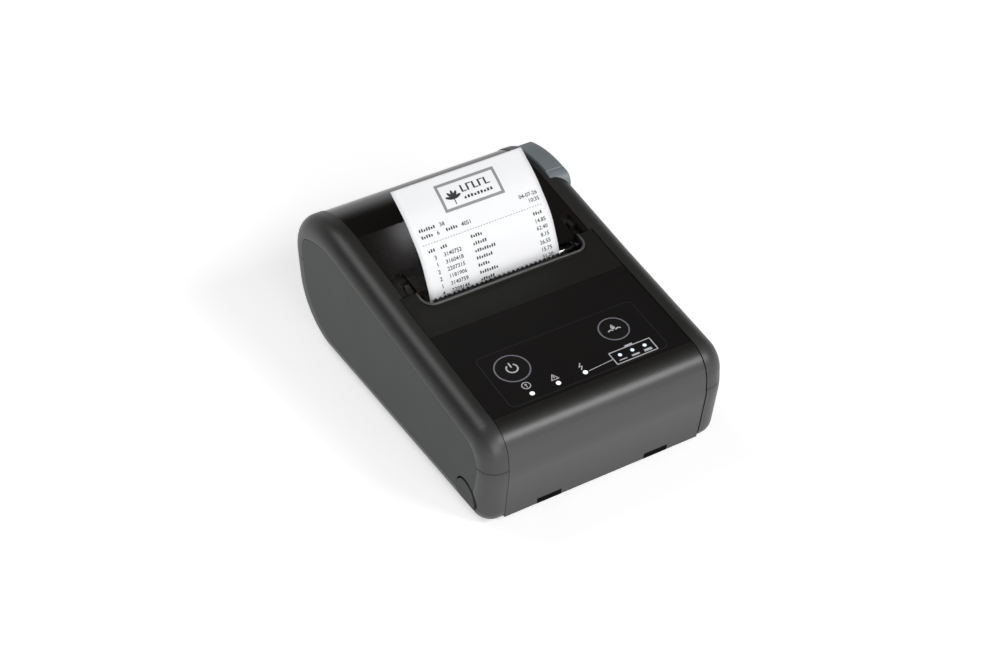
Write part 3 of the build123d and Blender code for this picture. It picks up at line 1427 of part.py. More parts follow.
# Fasteners
with BuildPart() as case_screws:
    for side in (-1, 1):
        for y in (post_front_y, post_rear_y):
            seat = split_height(y) - screw_seat_drop
            with Locations((side * post_x, y, seat)):
                Cylinder(screw_head_radius, screw_head_height,
                         align=(Align.CENTER, Align.CENTER, Align.MAX))
                Cylinder(screw_radius - press_gap, screw_seat_drop + screw_reach - 0.5,
                         align=(Align.CENTER, Align.CENTER, Align.MIN))
            with Locations((side * post_x, y, seat - screw_head_height)):
                Cylinder(1.0, 1.6, mode=Mode.SUBTRACT)
save(case_screws, "case_screws")

with BuildPart() as mechanism_screws:
    seat = frame_low_z + frame_wall
    with Locations(*[(x, y, seat) for x in frame_screw_xs for y in frame_screw_ys]):
        Cylinder(screw_head_radius, screw_head_height - 0.4,
                 align=(Align.CENTER, Align.CENTER, Align.MIN))
        Cylinder(screw_radius - press_gap, seat - bay_top_z - 0.3,
                 align=(Align.CENTER, Align.CENTER, Align.MAX))
save(mechanism_screws, "mechanism_screws")

with BuildPart() as board_screws:
    with Locations(*[(x, y, board_top_z) for x in (-board_screw_x, board_screw_x)
                     for y in board_screw_ys]):
        Cylinder(screw_head_radius, screw_head_height - 0.4,
                 align=(Align.CENTER, Align.CENTER, Align.MIN))
        Cylinder(screw_radius - press_gap, board_top_z - bay_top_z - 0.3,
                 align=(Align.CENTER, Align.CENTER, Align.MAX))
save(board_screws, "board_screws")

with BuildPart() as clip_inserts:
    with Locations((-clip_x, clip_y, 0.1), (clip_x, clip_y, 0.1)):
        Cylinder(insert_radius - press_gap, insert_length - 0.1,
                 align=(Align.CENTER, Align.CENTER, Align.MIN))
        Cylinder(insert_bore_radius, insert_length, mode=Mode.SUBTRACT,
                 align=(Align.CENTER, Align.CENTER, Align.MIN))
save(clip_inserts, "clip_inserts")
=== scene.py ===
import json
from math import atan2, cos, pi, radians, sin, tan

import bmesh
import bpy
from mathutils import Matrix, Vector


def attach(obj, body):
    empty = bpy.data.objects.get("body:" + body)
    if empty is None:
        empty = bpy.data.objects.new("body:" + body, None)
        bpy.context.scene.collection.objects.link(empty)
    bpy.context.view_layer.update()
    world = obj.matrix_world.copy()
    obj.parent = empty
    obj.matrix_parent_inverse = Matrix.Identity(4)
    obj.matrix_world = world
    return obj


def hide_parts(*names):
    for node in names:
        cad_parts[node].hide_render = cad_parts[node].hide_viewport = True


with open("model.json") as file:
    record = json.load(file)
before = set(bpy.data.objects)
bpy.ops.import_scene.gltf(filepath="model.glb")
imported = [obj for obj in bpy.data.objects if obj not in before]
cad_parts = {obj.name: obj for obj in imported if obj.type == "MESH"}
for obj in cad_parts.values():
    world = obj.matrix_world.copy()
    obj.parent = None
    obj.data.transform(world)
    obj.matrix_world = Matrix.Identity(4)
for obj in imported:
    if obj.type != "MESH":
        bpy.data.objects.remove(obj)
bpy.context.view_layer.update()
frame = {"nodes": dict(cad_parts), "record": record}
nodes = frame["nodes"]
bodyOf = {node: body for body, members in frame["record"]["behaviour"]["bodies"].items() for node in members}
mm = 0.001
print("stage 1: the packed printer is loaded,", len(nodes), "nodes")


shot = {
    "azimuth": -28.20, "elevation": 37.216, "roll": -0.05202,
    "distance": 825.43 * mm, "lens": 76.139, "target": Vector((-3.277, -4.482, 26.958)) * mm,
}


def placeCamera():
    turn, rise = radians(shot["azimuth"]), radians(shot["elevation"])
    back = Vector((sin(turn) * cos(rise), -cos(turn) * cos(rise), sin(rise)))
    data = bpy.data.cameras.new("camera")
    data.lens = shot["lens"]
    data.sensor_width = 36
    data.clip_start, data.clip_end = 0.01, 20
    camera = bpy.data.objects.new("camera", data)
    camera.rotation_mode = "QUATERNION"
    camera.location = shot["target"] + back * shot["distance"]
    level = (-back).to_track_quat("-Z", "Y")
    camera.rotation_quaternion = level @ Matrix.Rotation(shot["roll"], 4, "Z").to_quaternion()
    bpy.context.scene.collection.objects.link(camera)
    bpy.context.scene.camera = camera


placeCamera()


class Flow:
    # an output of a node; sums and products of flows add Math nodes
    def __init__(self, wiring, socket):
        self.wiring, self.socket = wiring, socket

    def combine(self, operation, first, second):
        return self.wiring.node("Math", {"operation": operation}, {0: first, 1: second})

    def __add__(self, other):
        return self.combine("ADD", self, other)

    def __radd__(self, other):
        return self.combine("ADD", other, self)

    def __sub__(self, other):
        return self.combine("SUBTRACT", self, other)

    def __rsub__(self, other):
        return self.combine("SUBTRACT", other, self)

    def __mul__(self, other):
        return self.combine("MULTIPLY", self, other)

    def __rmul__(self, other):
        return self.combine("MULTIPLY", other, self)

    def __gt__(self, other):
        return self.combine("GREATER_THAN", self, other)

    def __lt__(self, other):
        return self.combine("LESS_THAN", self, other)


class Wiring:
    # a node tree, with one method that adds its nodes
    def __init__(self, tree):
        self.tree = tree

    def node(self, kind, settings=None, inputs=None, output=0):
        made = self.tree.nodes.new("ShaderNode" + kind)
        for key, value in (settings or {}).items():
            setattr(made, key, value)
        for key, value in (inputs or {}).items():
            if isinstance(value, Flow):
                self.tree.links.new(value.socket, made.inputs[key])
            else:
                made.inputs[key].default_value = value
        return Flow(self, made.outputs[output])


class Finish(Wiring):
    # a material with one shader
    def __init__(self, name):
        self.material = bpy.data.materials.new(name)
        self.material.use_nodes = True
        super().__init__(self.material.node_tree)
        self.shader = self.tree.nodes["Principled BSDF"]
        self.place = self.node("TexCoord", output="Object")

    def surface(self, **values):
        for key, value in values.items():
            socket = self.shader.inputs[key.replace("_", " ")]
            if isinstance(value, Flow):
                self.tree.links.new(value.socket, socket)
            else:
                socket.default_value = value
        return self.material

    def noise(self, scale, detail=3.0, stretch=(1, 1, 1)):
        spot = self.node("Mapping", inputs={"Vector": self.place, "Scale": stretch})
        return self.node("TexNoise", inputs={"Vector": spot, "Scale": scale, "Detail": detail})

    def shade(self, dark, light, mask):
        return self.node("Mix", {"data_type": "RGBA"}, {"Factor": mask, "A": (*dark, 1), "B": (*light, 1)}, 2)

    def bump(self, height, depth, strength=1.0):
        return self.node("Bump", inputs={"Height": height, "Distance": depth, "Strength": strength})


def tone(colour, factor):
    return tuple(min(1.0, part * factor) for part in colour)


def moulded(name, colour, roughness, grain=0.00002, cell=2600, specular=0.5):
    # injection moulded plastic with a fine spark-eroded texture
    finish = Finish(name)
    fine = finish.noise(cell, 2)
    broad = finish.noise(45, 3)
    return finish.surface(
        Base_Color=finish.shade(tone(colour, 0.92), tone(colour, 1.08), broad * 0.6 + fine * 0.4),
        Roughness=roughness - 0.05 + broad * 0.06 + fine * 0.04,
        Specular_IOR_Level=specular,
        Normal=finish.bump(fine, grain, 0.6),
    )


frontFaceY = -0.0795


def paintedLitShell(name, litFaceTone, shadedDeckTone, roughness, gone):
    # one shell with painted light: the front face is painted paler as if lit, and the deck is painted deeper
    # as if in shade, changing over from the place where the face is gone
    finish = Finish(name)
    fine = finish.noise(2600, 2)
    broad = finish.noise(45, 3)
    along = finish.node("SeparateXYZ", inputs={0: finish.place}, output="Y")
    paintedShadeShare = finish.node("MapRange", {"interpolation_type": "SMOOTHSTEP"},
                            {"Value": along, "From Min": frontFaceY, "From Max": gone})
    mask = broad * 0.6 + fine * 0.4
    # painted light: a lit copy of the plastic's colour for the face and a shaded copy for the deck
    face = finish.shade(tone(litFaceTone, 0.93), tone(litFaceTone, 1.07), mask)
    shadedDeck = finish.shade(tone(shadedDeckTone, 0.9), tone(shadedDeckTone, 1.1), mask)
    return finish.surface(
        Base_Color=finish.node("Mix", {"data_type": "RGBA"}, {"Factor": paintedShadeShare, "A": face, "B": shadedDeck}, 2),
        Roughness=roughness + broad * 0.05 + fine * 0.03,
        Specular_IOR_Level=0.45,
        Normal=finish.bump(fine, 0.000012, 0.5),
    )


def metal(name, colour, roughness, brush=(1, 1, 30)):
    # drawn or rolled metal with a faint grain along one way
    finish = Finish(name)
    lines = finish.noise(900, 4, brush)
    return finish.surface(
        Base_Color=finish.shade(tone(colour, 0.9), tone(colour, 1.05), lines),
        Metallic=1.0,
        Roughness=roughness - 0.06 + lines * 0.12,
        Normal=finish.bump(lines, 0.000008, 0.5),
    )


def smokedCover():
    # glossy smoked plastic, nearly opaque
    finish = Finish("smokedCover")
    broad = finish.noise(30, 2)
    return finish.surface(
        Base_Color=finish.shade((0.008, 0.0065, 0.006), (0.012, 0.010, 0.009), broad),
        Roughness=0.075 + broad * 0.03,
        Specular_IOR_Level=0.42,
        Alpha=0.93,
    )


def rubberFinish(name, colour, roughness=0.62):
    finish = Finish(name)
    fine = finish.noise(1800, 3)
    return finish.surface(
        Base_Color=finish.shade(tone(colour, 0.85), tone(colour, 1.15), fine),
        Roughness=roughness + fine * 0.1,
        Normal=finish.bump(fine, 0.00002, 0.6),
    )


def boardFinish():
    # solder mask with tracks a shade lighter than the ground
    finish = Finish("circuitBoard")
    wave = {"Vector": finish.place, "Scale": 260, "Distortion": 6, "Detail": 2, "Detail Scale": 3}
    tracks = finish.node("TexWave", {"bands_direction": "X"}, wave, 1)
    lines = tracks > 0.62
    return finish.surface(
        Base_Color=finish.shade((0.008, 0.05, 0.022), (0.02, 0.11, 0.05), lines),
        Roughness=0.32 + lines * 0.05,
        Normal=finish.bump(lines, 0.00003, 0.6),
    )


def rollFinish():
    # wound paper: fine rings on the ends of the roll
    finish = Finish("woundPaper")
    y = finish.node("SeparateXYZ", inputs={0: finish.place}, output="Y") - 38.0 * mm
    z = finish.node("SeparateXYZ", inputs={0: finish.place}, output="Z") - 31.5 * mm
    radius = finish.node("Math", {"operation": "SQRT"}, {0: y * y + z * z})
    rings = finish.node("Math", {"operation": "SINE"}, {0: radius * 15000}) * 0.5 + 0.5
    fibre = finish.noise(700, 3)
    return finish.surface(
        Base_Color=finish.shade((0.66, 0.65, 0.63), (0.86, 0.86, 0.85), rings * 0.6 + fibre * 0.4),
        Roughness=0.62,
        Normal=finish.bump(rings, 0.00002, 0.5),
    )


def paperFinish():
    finish = Finish("thermalPaper")
    fibre = finish.noise(900, 4)
    cloud = finish.noise(40, 2)
    return finish.surface(
        Base_Color=finish.shade((0.85, 0.855, 0.87), (0.91, 0.91, 0.92), fibre * 0.5 + cloud * 0.5),
        Roughness=0.5 + fibre * 0.08,
        Specular_IOR_Level=0.35,
        Normal=finish.bump(fibre, 0.000006, 0.5),
    )


def inkFinish(name, colour):
    finish = Finish(name)
    spots = finish.noise(5200, 2)
    return finish.surface(
        Base_Color=finish.shade(tone(colour, 0.7), tone(colour, 1.4), spots),
        Roughness=0.6,
    )


def lampFinish(name, colour, strength):
    # lit lamp window
    finish = Finish(name)
    fine = finish.noise(1500, 2)
    return finish.surface(
        Base_Color=finish.shade(tone(colour, 0.8), colour, fine),
        Roughness=0.25 + fine * 0.1,
        Emission_Color=finish.shade(tone(colour, 0.85), colour, fine),
        Emission_Strength=strength,
    )


finishes = {
    # the rim and the front shell carry painted light: paler on their front faces and deeper on their decks
    "rim": paintedLitShell("rimPlastic", (0.043, 0.044, 0.043), (0.021, 0.021, 0.020), 0.36, -0.0600),
    "side": moulded("sidePlastic", (0.023, 0.026, 0.0255), 0.5, 0.00002, 2000, 0.32),
    "front": paintedLitShell("frontShell", (0.055, 0.055, 0.055), (0.012, 0.0115, 0.0105), 0.30, -0.0700),
    "sheet": moulded("panelSheet", (0.0085, 0.0076, 0.0074), 0.34, 0.000012, 3200, 0.25),
    "button": moulded("keyPlastic", (0.009, 0.0082, 0.008), 0.36, 0.000012, 3200, 0.3),
    "lever": moulded("leverPlastic", (0.185, 0.21, 0.22), 0.42, 0.000015),
    "inner": moulded("innerPlastic", (0.012, 0.012, 0.012), 0.5),
    "gear": moulded("gearAcetal", (0.016, 0.016, 0.016), 0.4),
    "lamp_body": moulded("lampBody", (0.78, 0.78, 0.73), 0.4),
    "battery": moulded("batteryPlastic", (0.018, 0.018, 0.019), 0.55, 0.00004, 1400),
    "cable": moulded("cableFoil", (0.75, 0.76, 0.78), 0.35),
    "smoked": smokedCover(),
    "soft": rubberFinish("capRubber", (0.045, 0.047, 0.047)),
    "platen": rubberFinish("platenRubber", (0.022, 0.022, 0.023), 0.7),
    "steel": metal("brightSteel", (0.62, 0.62, 0.63), 0.24),
    "zinc": metal("zincPlate", (0.50, 0.52, 0.55), 0.36, (6, 6, 6)),
    "alloy": metal("extrudedAlloy", (0.70, 0.71, 0.72), 0.34, (30, 1, 1)),
    "brass": metal("turnedBrass", (0.72, 0.55, 0.26), 0.3),
    "contact": metal("goldContact", (0.78, 0.6, 0.25), 0.26),
    "ceramic": moulded("headCeramic", (0.78, 0.77, 0.73), 0.25),
    "card": rubberFinish("coreCard", (0.34, 0.26, 0.17), 0.75),
    "board": boardFinish(),
    "paper": rollFinish(),
    # paler than the deck plastic it stands on: painted highlight along the exit's lip
    "bead": moulded("beadPaintedHighlight", (0.075, 0.073, 0.068), 0.3, 0.000006),
    # near-black, which the toe's slots use as painted shade
    "deepBlack": moulded("deepBlack", (0.0012, 0.0012, 0.0012), 0.8, 0.00002, 2600, 0.05),
    "lamp_window": lampFinish("lampWindow", (0.72, 0.8, 0.78), 0.4),
}
slotOf = {entry["node"]: entry["material_slot"] for entry in frame["record"]["subparts"]}
for name, node in nodes.items():
    if not node.material_slots:
        node.data.materials.append(None)
    for place in node.material_slots:
        place.material = finishes[slotOf[name]]
thermalPaper = paperFinish()
print("stage 2: every node has its finish")


def addPiece(name, bm, material, body, replaced=()):
    mesh = bpy.data.meshes.new(name)
    bm.to_mesh(mesh)
    bm.free()
    mesh.materials.append(material)
    piece = bpy.data.objects.new(name, mesh)
    bpy.context.scene.collection.objects.link(piece)
    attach(piece, body)
    if replaced:
        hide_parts(*replaced)
    return piece


def smoothPiece(piece):
    for face in piece.data.polygons:
        face.use_smooth = True
    return piece


def addBar(bm, x, y, width, height, turn=0.0):
    # a flat rectangle about its middle, cut about every millimetre so that it can follow a curve
    spot = (Matrix.Translation((x, y, 0)) @ Matrix.Rotation(turn, 4, "Z")
            @ Matrix.Diagonal((width, height, 1, 1)))
    bmesh.ops.create_grid(bm, x_segments=max(1, round(width)), y_segments=max(1, round(height)), size=0.5,
                          matrix=spot)


def addWord(bm, x, y, letters, height=1.25, pitch=1.02):
    # blocks of uneven height stand for a word
    for index in range(letters):
        tall = height * (1.0 if (index * 7 + letters) % 3 else 0.72)
        addBar(bm, x + pitch * (index + 0.35), y + (tall - height) / 2, pitch * 0.62, tall)


def addRing(bm, x, y, inner, outer, steps=64, start=0.0, sweep=2 * pi):
    # a flat ring, or a part of one
    full = sweep > 2 * pi - 0.001
    first = bm.verts.new((x + inner * cos(start), y + inner * sin(start), 0))
    second = bm.verts.new((x + outer * cos(start), y + outer * sin(start), 0))
    edge = bm.edges.new((first, second))
    bmesh.ops.spin(bm, geom=[edge, first, second], cent=(x, y, 0), axis=(0, 0, 1), angle=sweep,
                   steps=steps, use_merge=full)


def addDot(bm, x, y, radius, steps=24):
    bmesh.ops.create_circle(bm, cap_ends=True, radius=radius, segments=steps,
                            matrix=Matrix.Translation((x, y, 0)))


digitSize = {"height": 1.6, "fontPerHeight": 1.38, "bolder": 0.04}


def addDigits(bm, words, x, y, align="LEFT"):
    # plain numbers as flat shapes
    height = digitSize["height"]
    curve = bpy.data.curves.new("digits", "FONT")
    curve.body, curve.size, curve.align_x = words, height * digitSize["fontPerHeight"], align
    curve.resolution_u = 2
    curve.offset = digitSize["bolder"]
    holder = bpy.data.objects.new("digits", curve)
    mesh = bpy.data.meshes.new_from_object(holder)
    mesh.transform(Matrix.Translation((x, y - height / 2, 0)))
    bm.from_mesh(mesh)
    bpy.data.objects.remove(holder)
    bpy.data.meshes.remove(mesh)


def faceUp(bm):
    bmesh.ops.recalc_face_normals(bm, faces=bm.faces)
    down = [face for face in bm.faces if face.normal.z < 0]
    bmesh.ops.reverse_faces(bm, faces=down)


receipt = {
    "middle": -2.1, "width": 57.4, "thickness": 0.11, "stations": 90, "columns": 24,
    "path": [(-1.175, 45.9), (-1.175, 53.2), (4.2, 67.5), (15.5, 79.0), (26.3, 85.8)],
    "radii": [20, 25, 40], "printLift": 0.095,
}


def roundedPath(points, radii, stations):
    # evenly spaced places along straight runs joined by arcs
    dense = [Vector(points[0])]
    for before, corner, after, radius in zip(points, points[1:], points[2:], radii):
        before, corner, after = Vector(before), Vector(corner), Vector(after)
        a, b = (before - corner).normalized(), (after - corner).normalized()
        half = a.angle(b) / 2
        reach = radius / tan(half)
        centre = corner + (a + b).normalized() * (radius / sin(half))
        start, end = corner + a * reach - centre, corner + b * reach - centre
        turn = start.angle_signed(end)
        for step in range(13):
            angle = -turn * step / 12
            dense.append(centre + Vector((start.x * cos(angle) - start.y * sin(angle),
                                          start.x * sin(angle) + start.y * cos(angle))))
    dense.append(Vector(points[-1]))
    total = sum((b - a).length for a, b in zip(dense, dense[1:]))
    places, walked, wanted = [], 0.0, 0.0
    for a, b in zip(dense, dense[1:]):
        run = (b - a).length
        while run > 0 and wanted <= walked + run + 1e-6 and len(places) <= stations:
            places.append((a.lerp(b, (wanted - walked) / run), (b - a).normalized()))
            wanted += total / stations
        walked += run
    return places, total


receiptPath, receiptLength = roundedPath(receipt["path"], receipt["radii"], receipt["stations"])


def ontoReceipt(u, v, lift=0.0):
    # u across from the middle, v from the top edge down the strip, both in mm
    along = (receiptLength - v) / receiptLength * receipt["stations"]
    index = max(0, min(len(receiptPath) - 2, int(along)))
    here, there = receiptPath[index], receiptPath[index + 1]
    spot = here[0].lerp(there[0], along - index)
    way = here[1].lerp(there[1], along - index).normalized()
    out = Vector((-way.y, way.x))
    return Vector((receipt["middle"] + u, spot.x + out.x * lift, spot.y + out.y * lift)) * mm


def makeReceipt():
    bm = bmesh.new()
    bmesh.ops.create_grid(bm, x_segments=receipt["columns"], y_segments=receipt["stations"], size=0.5)
    for vert in bm.verts:
        vert.co = ontoReceipt(vert.co.x * receipt["width"], (0.5 - vert.co.y) * receiptLength)
    bmesh.ops.recalc_face_normals(bm, faces=bm.faces)
    piece = smoothPiece(addPiece("receiptStrip", bm, thermalPaper, "roll_cover", ["receipt"]))
    wall = piece.modifiers.new("wall", "SOLIDIFY")
    wall.thickness, wall.offset = receipt["thickness"] * mm, 0


slip = {   # the print's measures in mm; frame is its middle across, top, width, height and line
    "frame": (1.0, -3.6, 26.0, 11.8, 1.15), "dashes": 44, "dashPitch": 1.2, "dashLine": -24.3,
    "firstRow": -29.9, "rowPitch": 2.9, "ink": (0.022, 0.022, 0.027), "frameInk": (0.27, 0.27, 0.28),
}


def makeReceiptPrint():
    # rows of plain numbers and blocks under a framed sprig; y runs down from the top edge
    dark, grey = bmesh.new(), bmesh.new()
    middleX, topY, wide, high, line = slip["frame"]
    middleY = topY - high / 2
    for side in (-1, 1):
        addBar(grey, middleX + side * (wide - line) / 2, middleY, line, high)
        addBar(grey, middleX, middleY + side * (high - line) / 2, wide - 2 * line, line)
    sprigX, sprigY = middleX - 7.4, middleY - 1.6
    for leaf in range(5):
        angle = pi / 2 + (leaf - 2) * 0.6
        spot = (Matrix.Translation((sprigX + 1.75 * cos(angle), sprigY + 2.0 * sin(angle), 0))
                @ Matrix.Rotation(angle, 4, "Z") @ Matrix.Diagonal((1.75, 0.6, 1, 1)))
        bmesh.ops.create_circle(dark, cap_ends=True, radius=1, segments=20, matrix=spot)
    addBar(dark, sprigX, sprigY - 1.0, 0.4, 2.6)
    for letter in range(5):    # a heavy heading of upright strokes
        addBar(dark, middleX - 2.9 + 2.55 * letter, middleY + 1.4, 0.75, 3.0)
        addBar(dark, middleX - 1.75 + 2.55 * letter, middleY + 1.4 + (1.3 if letter % 2 else -1.3), 1.5, 0.4)
    addWord(dark, middleX - 3.4, middleY - 2.4, 9, 1.2, 1.42)
    addDigits(dark, "04-07-26", 26.4, -19.0, "RIGHT")
    addDigits(dark, "10:35", 26.4, -21.5, "RIGHT")
    addWord(dark, -25.2, -18.6, 7)
    addDigits(dark, "38", -16.4, -18.6)
    addWord(dark, -25.2, -21.3, 5)
    addDigits(dark, "6", -18.6, -21.3)
    addWord(dark, -14.6, -21.3, 5)
    addDigits(dark, "4051", -8.0, -21.3)
    for dash in range(slip["dashes"]):
        addBar(dark, -25.6 + slip["dashPitch"] * dash, slip["dashLine"], 0.62, 0.2)
    for x, letters in ((-24.6, 3), (-19.4, 3), (-6.2, 5), (21.4, 4)):
        addWord(dark, x, -27.0, letters)
    rows = (("3", "3140752", 6, "14.85"), ("1", "3160418", 9, "62.40"), ("2", "2207315", 7, "8.15"),
            ("2", "1181906", 5, "26.55"), ("1", "3140759", 8, "15.75"), ("4", "2209144", 6, "31.20"))
    for row, (count, code, letters, price) in enumerate(rows):
        y = slip["firstRow"] - slip["rowPitch"] * row
        addDigits(dark, count, -23.0, y)
        addDigits(dark, code, -19.0, y)
        addWord(dark, -6.2, y, letters)
        addDigits(dark, price, 26.0, y, "RIGHT")
    for name, bm, colour in (("receiptPrint", dark, slip["ink"]), ("receiptFrame", grey, slip["frameInk"])):
        bmesh.ops.triangulate(bm, faces=bm.faces)
        faceUp(bm)
        for vert in bm.verts:
            vert.co = ontoReceipt(vert.co.x, -vert.co.y, receipt["printLift"])
        addPiece(name, bm, inkFinish(name + "Ink", colour), "roll_cover")


makeReceipt()
makeReceiptPrint()
print("stage 3: the receipt is printed")


deck = {
    "slope": radians(8.3), "keyY": -50.2, "height": 48.341, "step": 0.25, "emboss": 0.15, "lift": 0.02,
}


def ontoDeck(x, along, lift=0.0):
    # x as in the model, along measured up the panel from the keys' line
    tilt = deck["slope"]
    rise = deck["emboss"] + deck["lift"] - deck["step"] + lift
    return Vector((x, deck["keyY"] + along * cos(tilt) - rise * sin(tilt),
                   deck["height"] + along * sin(tilt) + rise * cos(tilt))) * mm


def layPrint(name, bm, material, body):
    bmesh.ops.triangulate(bm, faces=bm.faces)
    faceUp(bm)
    for vert in bm.verts:
        vert.co = ontoDeck(vert.co.x, vert.co.y)
    addPiece(name, bm, material, body)


def addLine(bm, start, end, width):
    start, end = Vector(start), Vector(end)
    middle, run = (start + end) / 2, end - start
    addBar(bm, middle.x, middle.y, run.length + width, width, atan2(run.y, run.x))


def alongDeck(y):
    return (y - deck["keyY"]) / cos(deck["slope"])


panel = {
    "powerX": -23.5, "powerRing": (6.44, 7.0), "feedX": 20.4, "feedRing": (5.54, 6.08),
    "lampX": (-23.5, -12.4, -0.9), "lampY": -64.4, "levelX": (15.1, 20.5, 25.9), "levelY": -62.8,
    "raisedHalf": 33.8, "raisedY": (-67.4, -40.2), "raisedRadius": 2.3,
}


def makePanelPrints():
    white = inkFinish("whitePrint", (0.52, 0.52, 0.55))
    violet = inkFinish("ringPrint", (0.17, 0.165, 0.19))
    rings = bmesh.new()
    addRing(rings, panel["powerX"], 0, *panel["powerRing"], 72)
    addRing(rings, panel["feedX"], 0, *panel["feedRing"], 72)
    layPrint("keyRings", rings, violet, "printer")

    power = bmesh.new()     # an open circle with a bar in its gap
    addRing(power, panel["powerX"], 0.1, 1.85, 2.45, 36, pi / 2 + 0.62, 2 * pi - 1.24)
    addLine(power, (panel["powerX"], 0.8), (panel["powerX"], 2.8), 0.6)
    layPrint("powerMark", power, white, "power_button")

    feed = bmesh.new()      # a drop falling between two short curves
    addDot(feed, panel["feedX"], 0.75, 0.85)
    bmesh.ops.create_circle(feed, cap_ends=True, radius=0.95, segments=3,
                            matrix=Matrix.Translation((panel["feedX"], 1.6, 0)))
    for side in (-1, 1):
        addRing(feed, panel["feedX"] + side * 1.6, -1.35, 0.95, 1.5, 14, pi / 2 - pi / 3, 2 * pi / 3)
    layPrint("feedMark", feed, white, "feed_button")

    marks = bmesh.new()
    iconX, iconY = -23.4, alongDeck(-60.0)
    addRing(marks, iconX, iconY, 1.45, 1.8, 32)
    addDot(marks, iconX, iconY + 0.45, 0.42)
    addLine(marks, (iconX, iconY - 0.25), (iconX, iconY - 0.9), 0.34)
    # a triangle mark for a fault, a bolt for charging
    faultX, faultY = panel["lampX"][1], alongDeck(-61.2)
    corners = [(faultX - 1.5, faultY - 1.1), (faultX + 1.5, faultY - 1.1), (faultX, faultY + 1.5)]
    for start, end in zip(corners, corners[1:] + corners[:1]):
        addLine(marks, start, end, 0.36)
    addLine(marks, (faultX, faultY + 0.4), (faultX, faultY - 0.25), 0.34)
    chargeX, chargeY = panel["lampX"][2], alongDeck(-61.2)
    addLine(marks, (chargeX + 0.5, chargeY + 1.6), (chargeX - 0.6, chargeY + 0.1), 0.42)
    addLine(marks, (chargeX - 0.6, chargeY + 0.1), (chargeX + 0.6, chargeY + 0.1), 0.42)
    addLine(marks, (chargeX + 0.6, chargeY + 0.1), (chargeX - 0.5, chargeY - 1.4), 0.42)
    # battery outline with its nub, level bars and the lead from the charge lamp
    left, right = 11.7, 29.4
    low, high = alongDeck(-66.6), alongDeck(-60.4)
    for start, end in (((left, low), (right, low)), ((right, low), (right, high)),
                       ((right, high), (left, high)), ((left, high), (left, low))):
        addLine(marks, start, end, 0.42)
    addBar(marks, 20.6, high + 0.6, 3.4, 0.7)
    for index, x in enumerate(panel["levelX"]):
        addBar(marks, x, alongDeck(-65.2), 3.3, 0.45 + 0.35 * index)
    addLine(marks, (panel["lampX"][2] + 1.6, alongDeck(-64.4)), (left, alongDeck(-63.6)), 0.28)
    layPrint("panelMarks", marks, white, "printer")

    edges = bmesh.new()     # a pale line painted round the raised middle of the sheet, as the highlight on its edge
    half, bend = panel["raisedHalf"], panel["raisedRadius"]
    low, high = (alongDeck(y) for y in panel["raisedY"])
    for side in (-1, 1):
        addLine(edges, (side * half, low + bend), (side * half, high - bend), 0.18)
        for level, turn in ((low, -1), (high, 1)):
            addRing(edges, side * (half - bend), level - turn * bend, bend - 0.09, bend + 0.09, 8,
                    {(-1, -1): pi, (1, -1): 1.5 * pi, (1, 1): 0, (-1, 1): pi / 2}[side, turn], pi / 2)
    for level in (low, high):
        addLine(edges, (bend - half, level), (half - bend, level), 0.18)
    layPrint("raisedEdge", edges, inkFinish("raisedEdgeHighlight", (0.030, 0.029, 0.029)), "printer")


makePanelPrints()


def makeLampCaps():
    # small domes over the lamp windows
    for name, colour, strength, spots, radius in (
            ("powerLamp", (0.80, 0.92, 0.84), 0.75, [(panel["lampX"][0], panel["lampY"])], 0.95),
            ("stateLamps", (0.9, 0.93, 0.9), 0.8, [(x, panel["lampY"]) for x in panel["lampX"][1:]], 0.95),
            ("levelLamps", (0.62, 0.76, 0.98), 0.75, [(x, panel["levelY"]) for x in panel["levelX"]], 0.75)):
        bm = bmesh.new()
        for x, y in spots:
            dome = bmesh.new()
            bmesh.ops.create_uvsphere(dome, u_segments=24, v_segments=12, radius=radius)
            bmesh.ops.bisect_plane(dome, geom=dome.verts[:] + dome.edges[:] + dome.faces[:],
                                   plane_co=(0, 0, 0), plane_no=(0, 0, -1), clear_outer=True)
            for vert in dome.verts:
                vert.co = ontoDeck(x + vert.co.x, alongDeck(y) + vert.co.y, vert.co.z * 0.22 + 0.06)
            mesh = bpy.data.meshes.new("dome")
            dome.to_mesh(mesh)
            dome.free()
            bm.from_mesh(mesh)
            bpy.data.meshes.remove(mesh)
        smoothPiece(addPiece(name, bm, lampFinish(name + "Glow", colour, strength), "printer"))


makeLampCaps()
print("stage 4: the key panel is printed and lit")


exitLip = {
    "half": 35.72, "frontY": -8.12, "endY": 0.2, "corner": 5.0, "originY": -4.0, "originZ": 55.081,
    "slope": radians(8.95), "proud": 0.42, "radius": 0.52,
}


def sweepRound(name, places, radius, material, body):
    # a round bead along a line of places
    curve = bpy.data.curves.new(name, "CURVE")
    curve.dimensions, curve.bevel_depth, curve.bevel_resolution = "3D", radius * mm, 2
    curve.use_fill_caps = True
    line = curve.splines.new("POLY")
    line.points.add(len(places) - 1)
    for point, place in zip(line.points, places):
        point.co = (*place, 1)
    holder = bpy.data.objects.new(name, curve)
    mesh = bpy.data.meshes.new_from_object(holder)
    bm = bmesh.new()
    bm.from_mesh(mesh)
    bpy.data.objects.remove(holder)
    bpy.data.meshes.remove(mesh)
    bmesh.ops.remove_doubles(bm, verts=bm.verts, dist=1e-6)
    bmesh.ops.recalc_face_normals(bm, faces=bm.faces)
    smoothPiece(addPiece(name, bm, material, body))


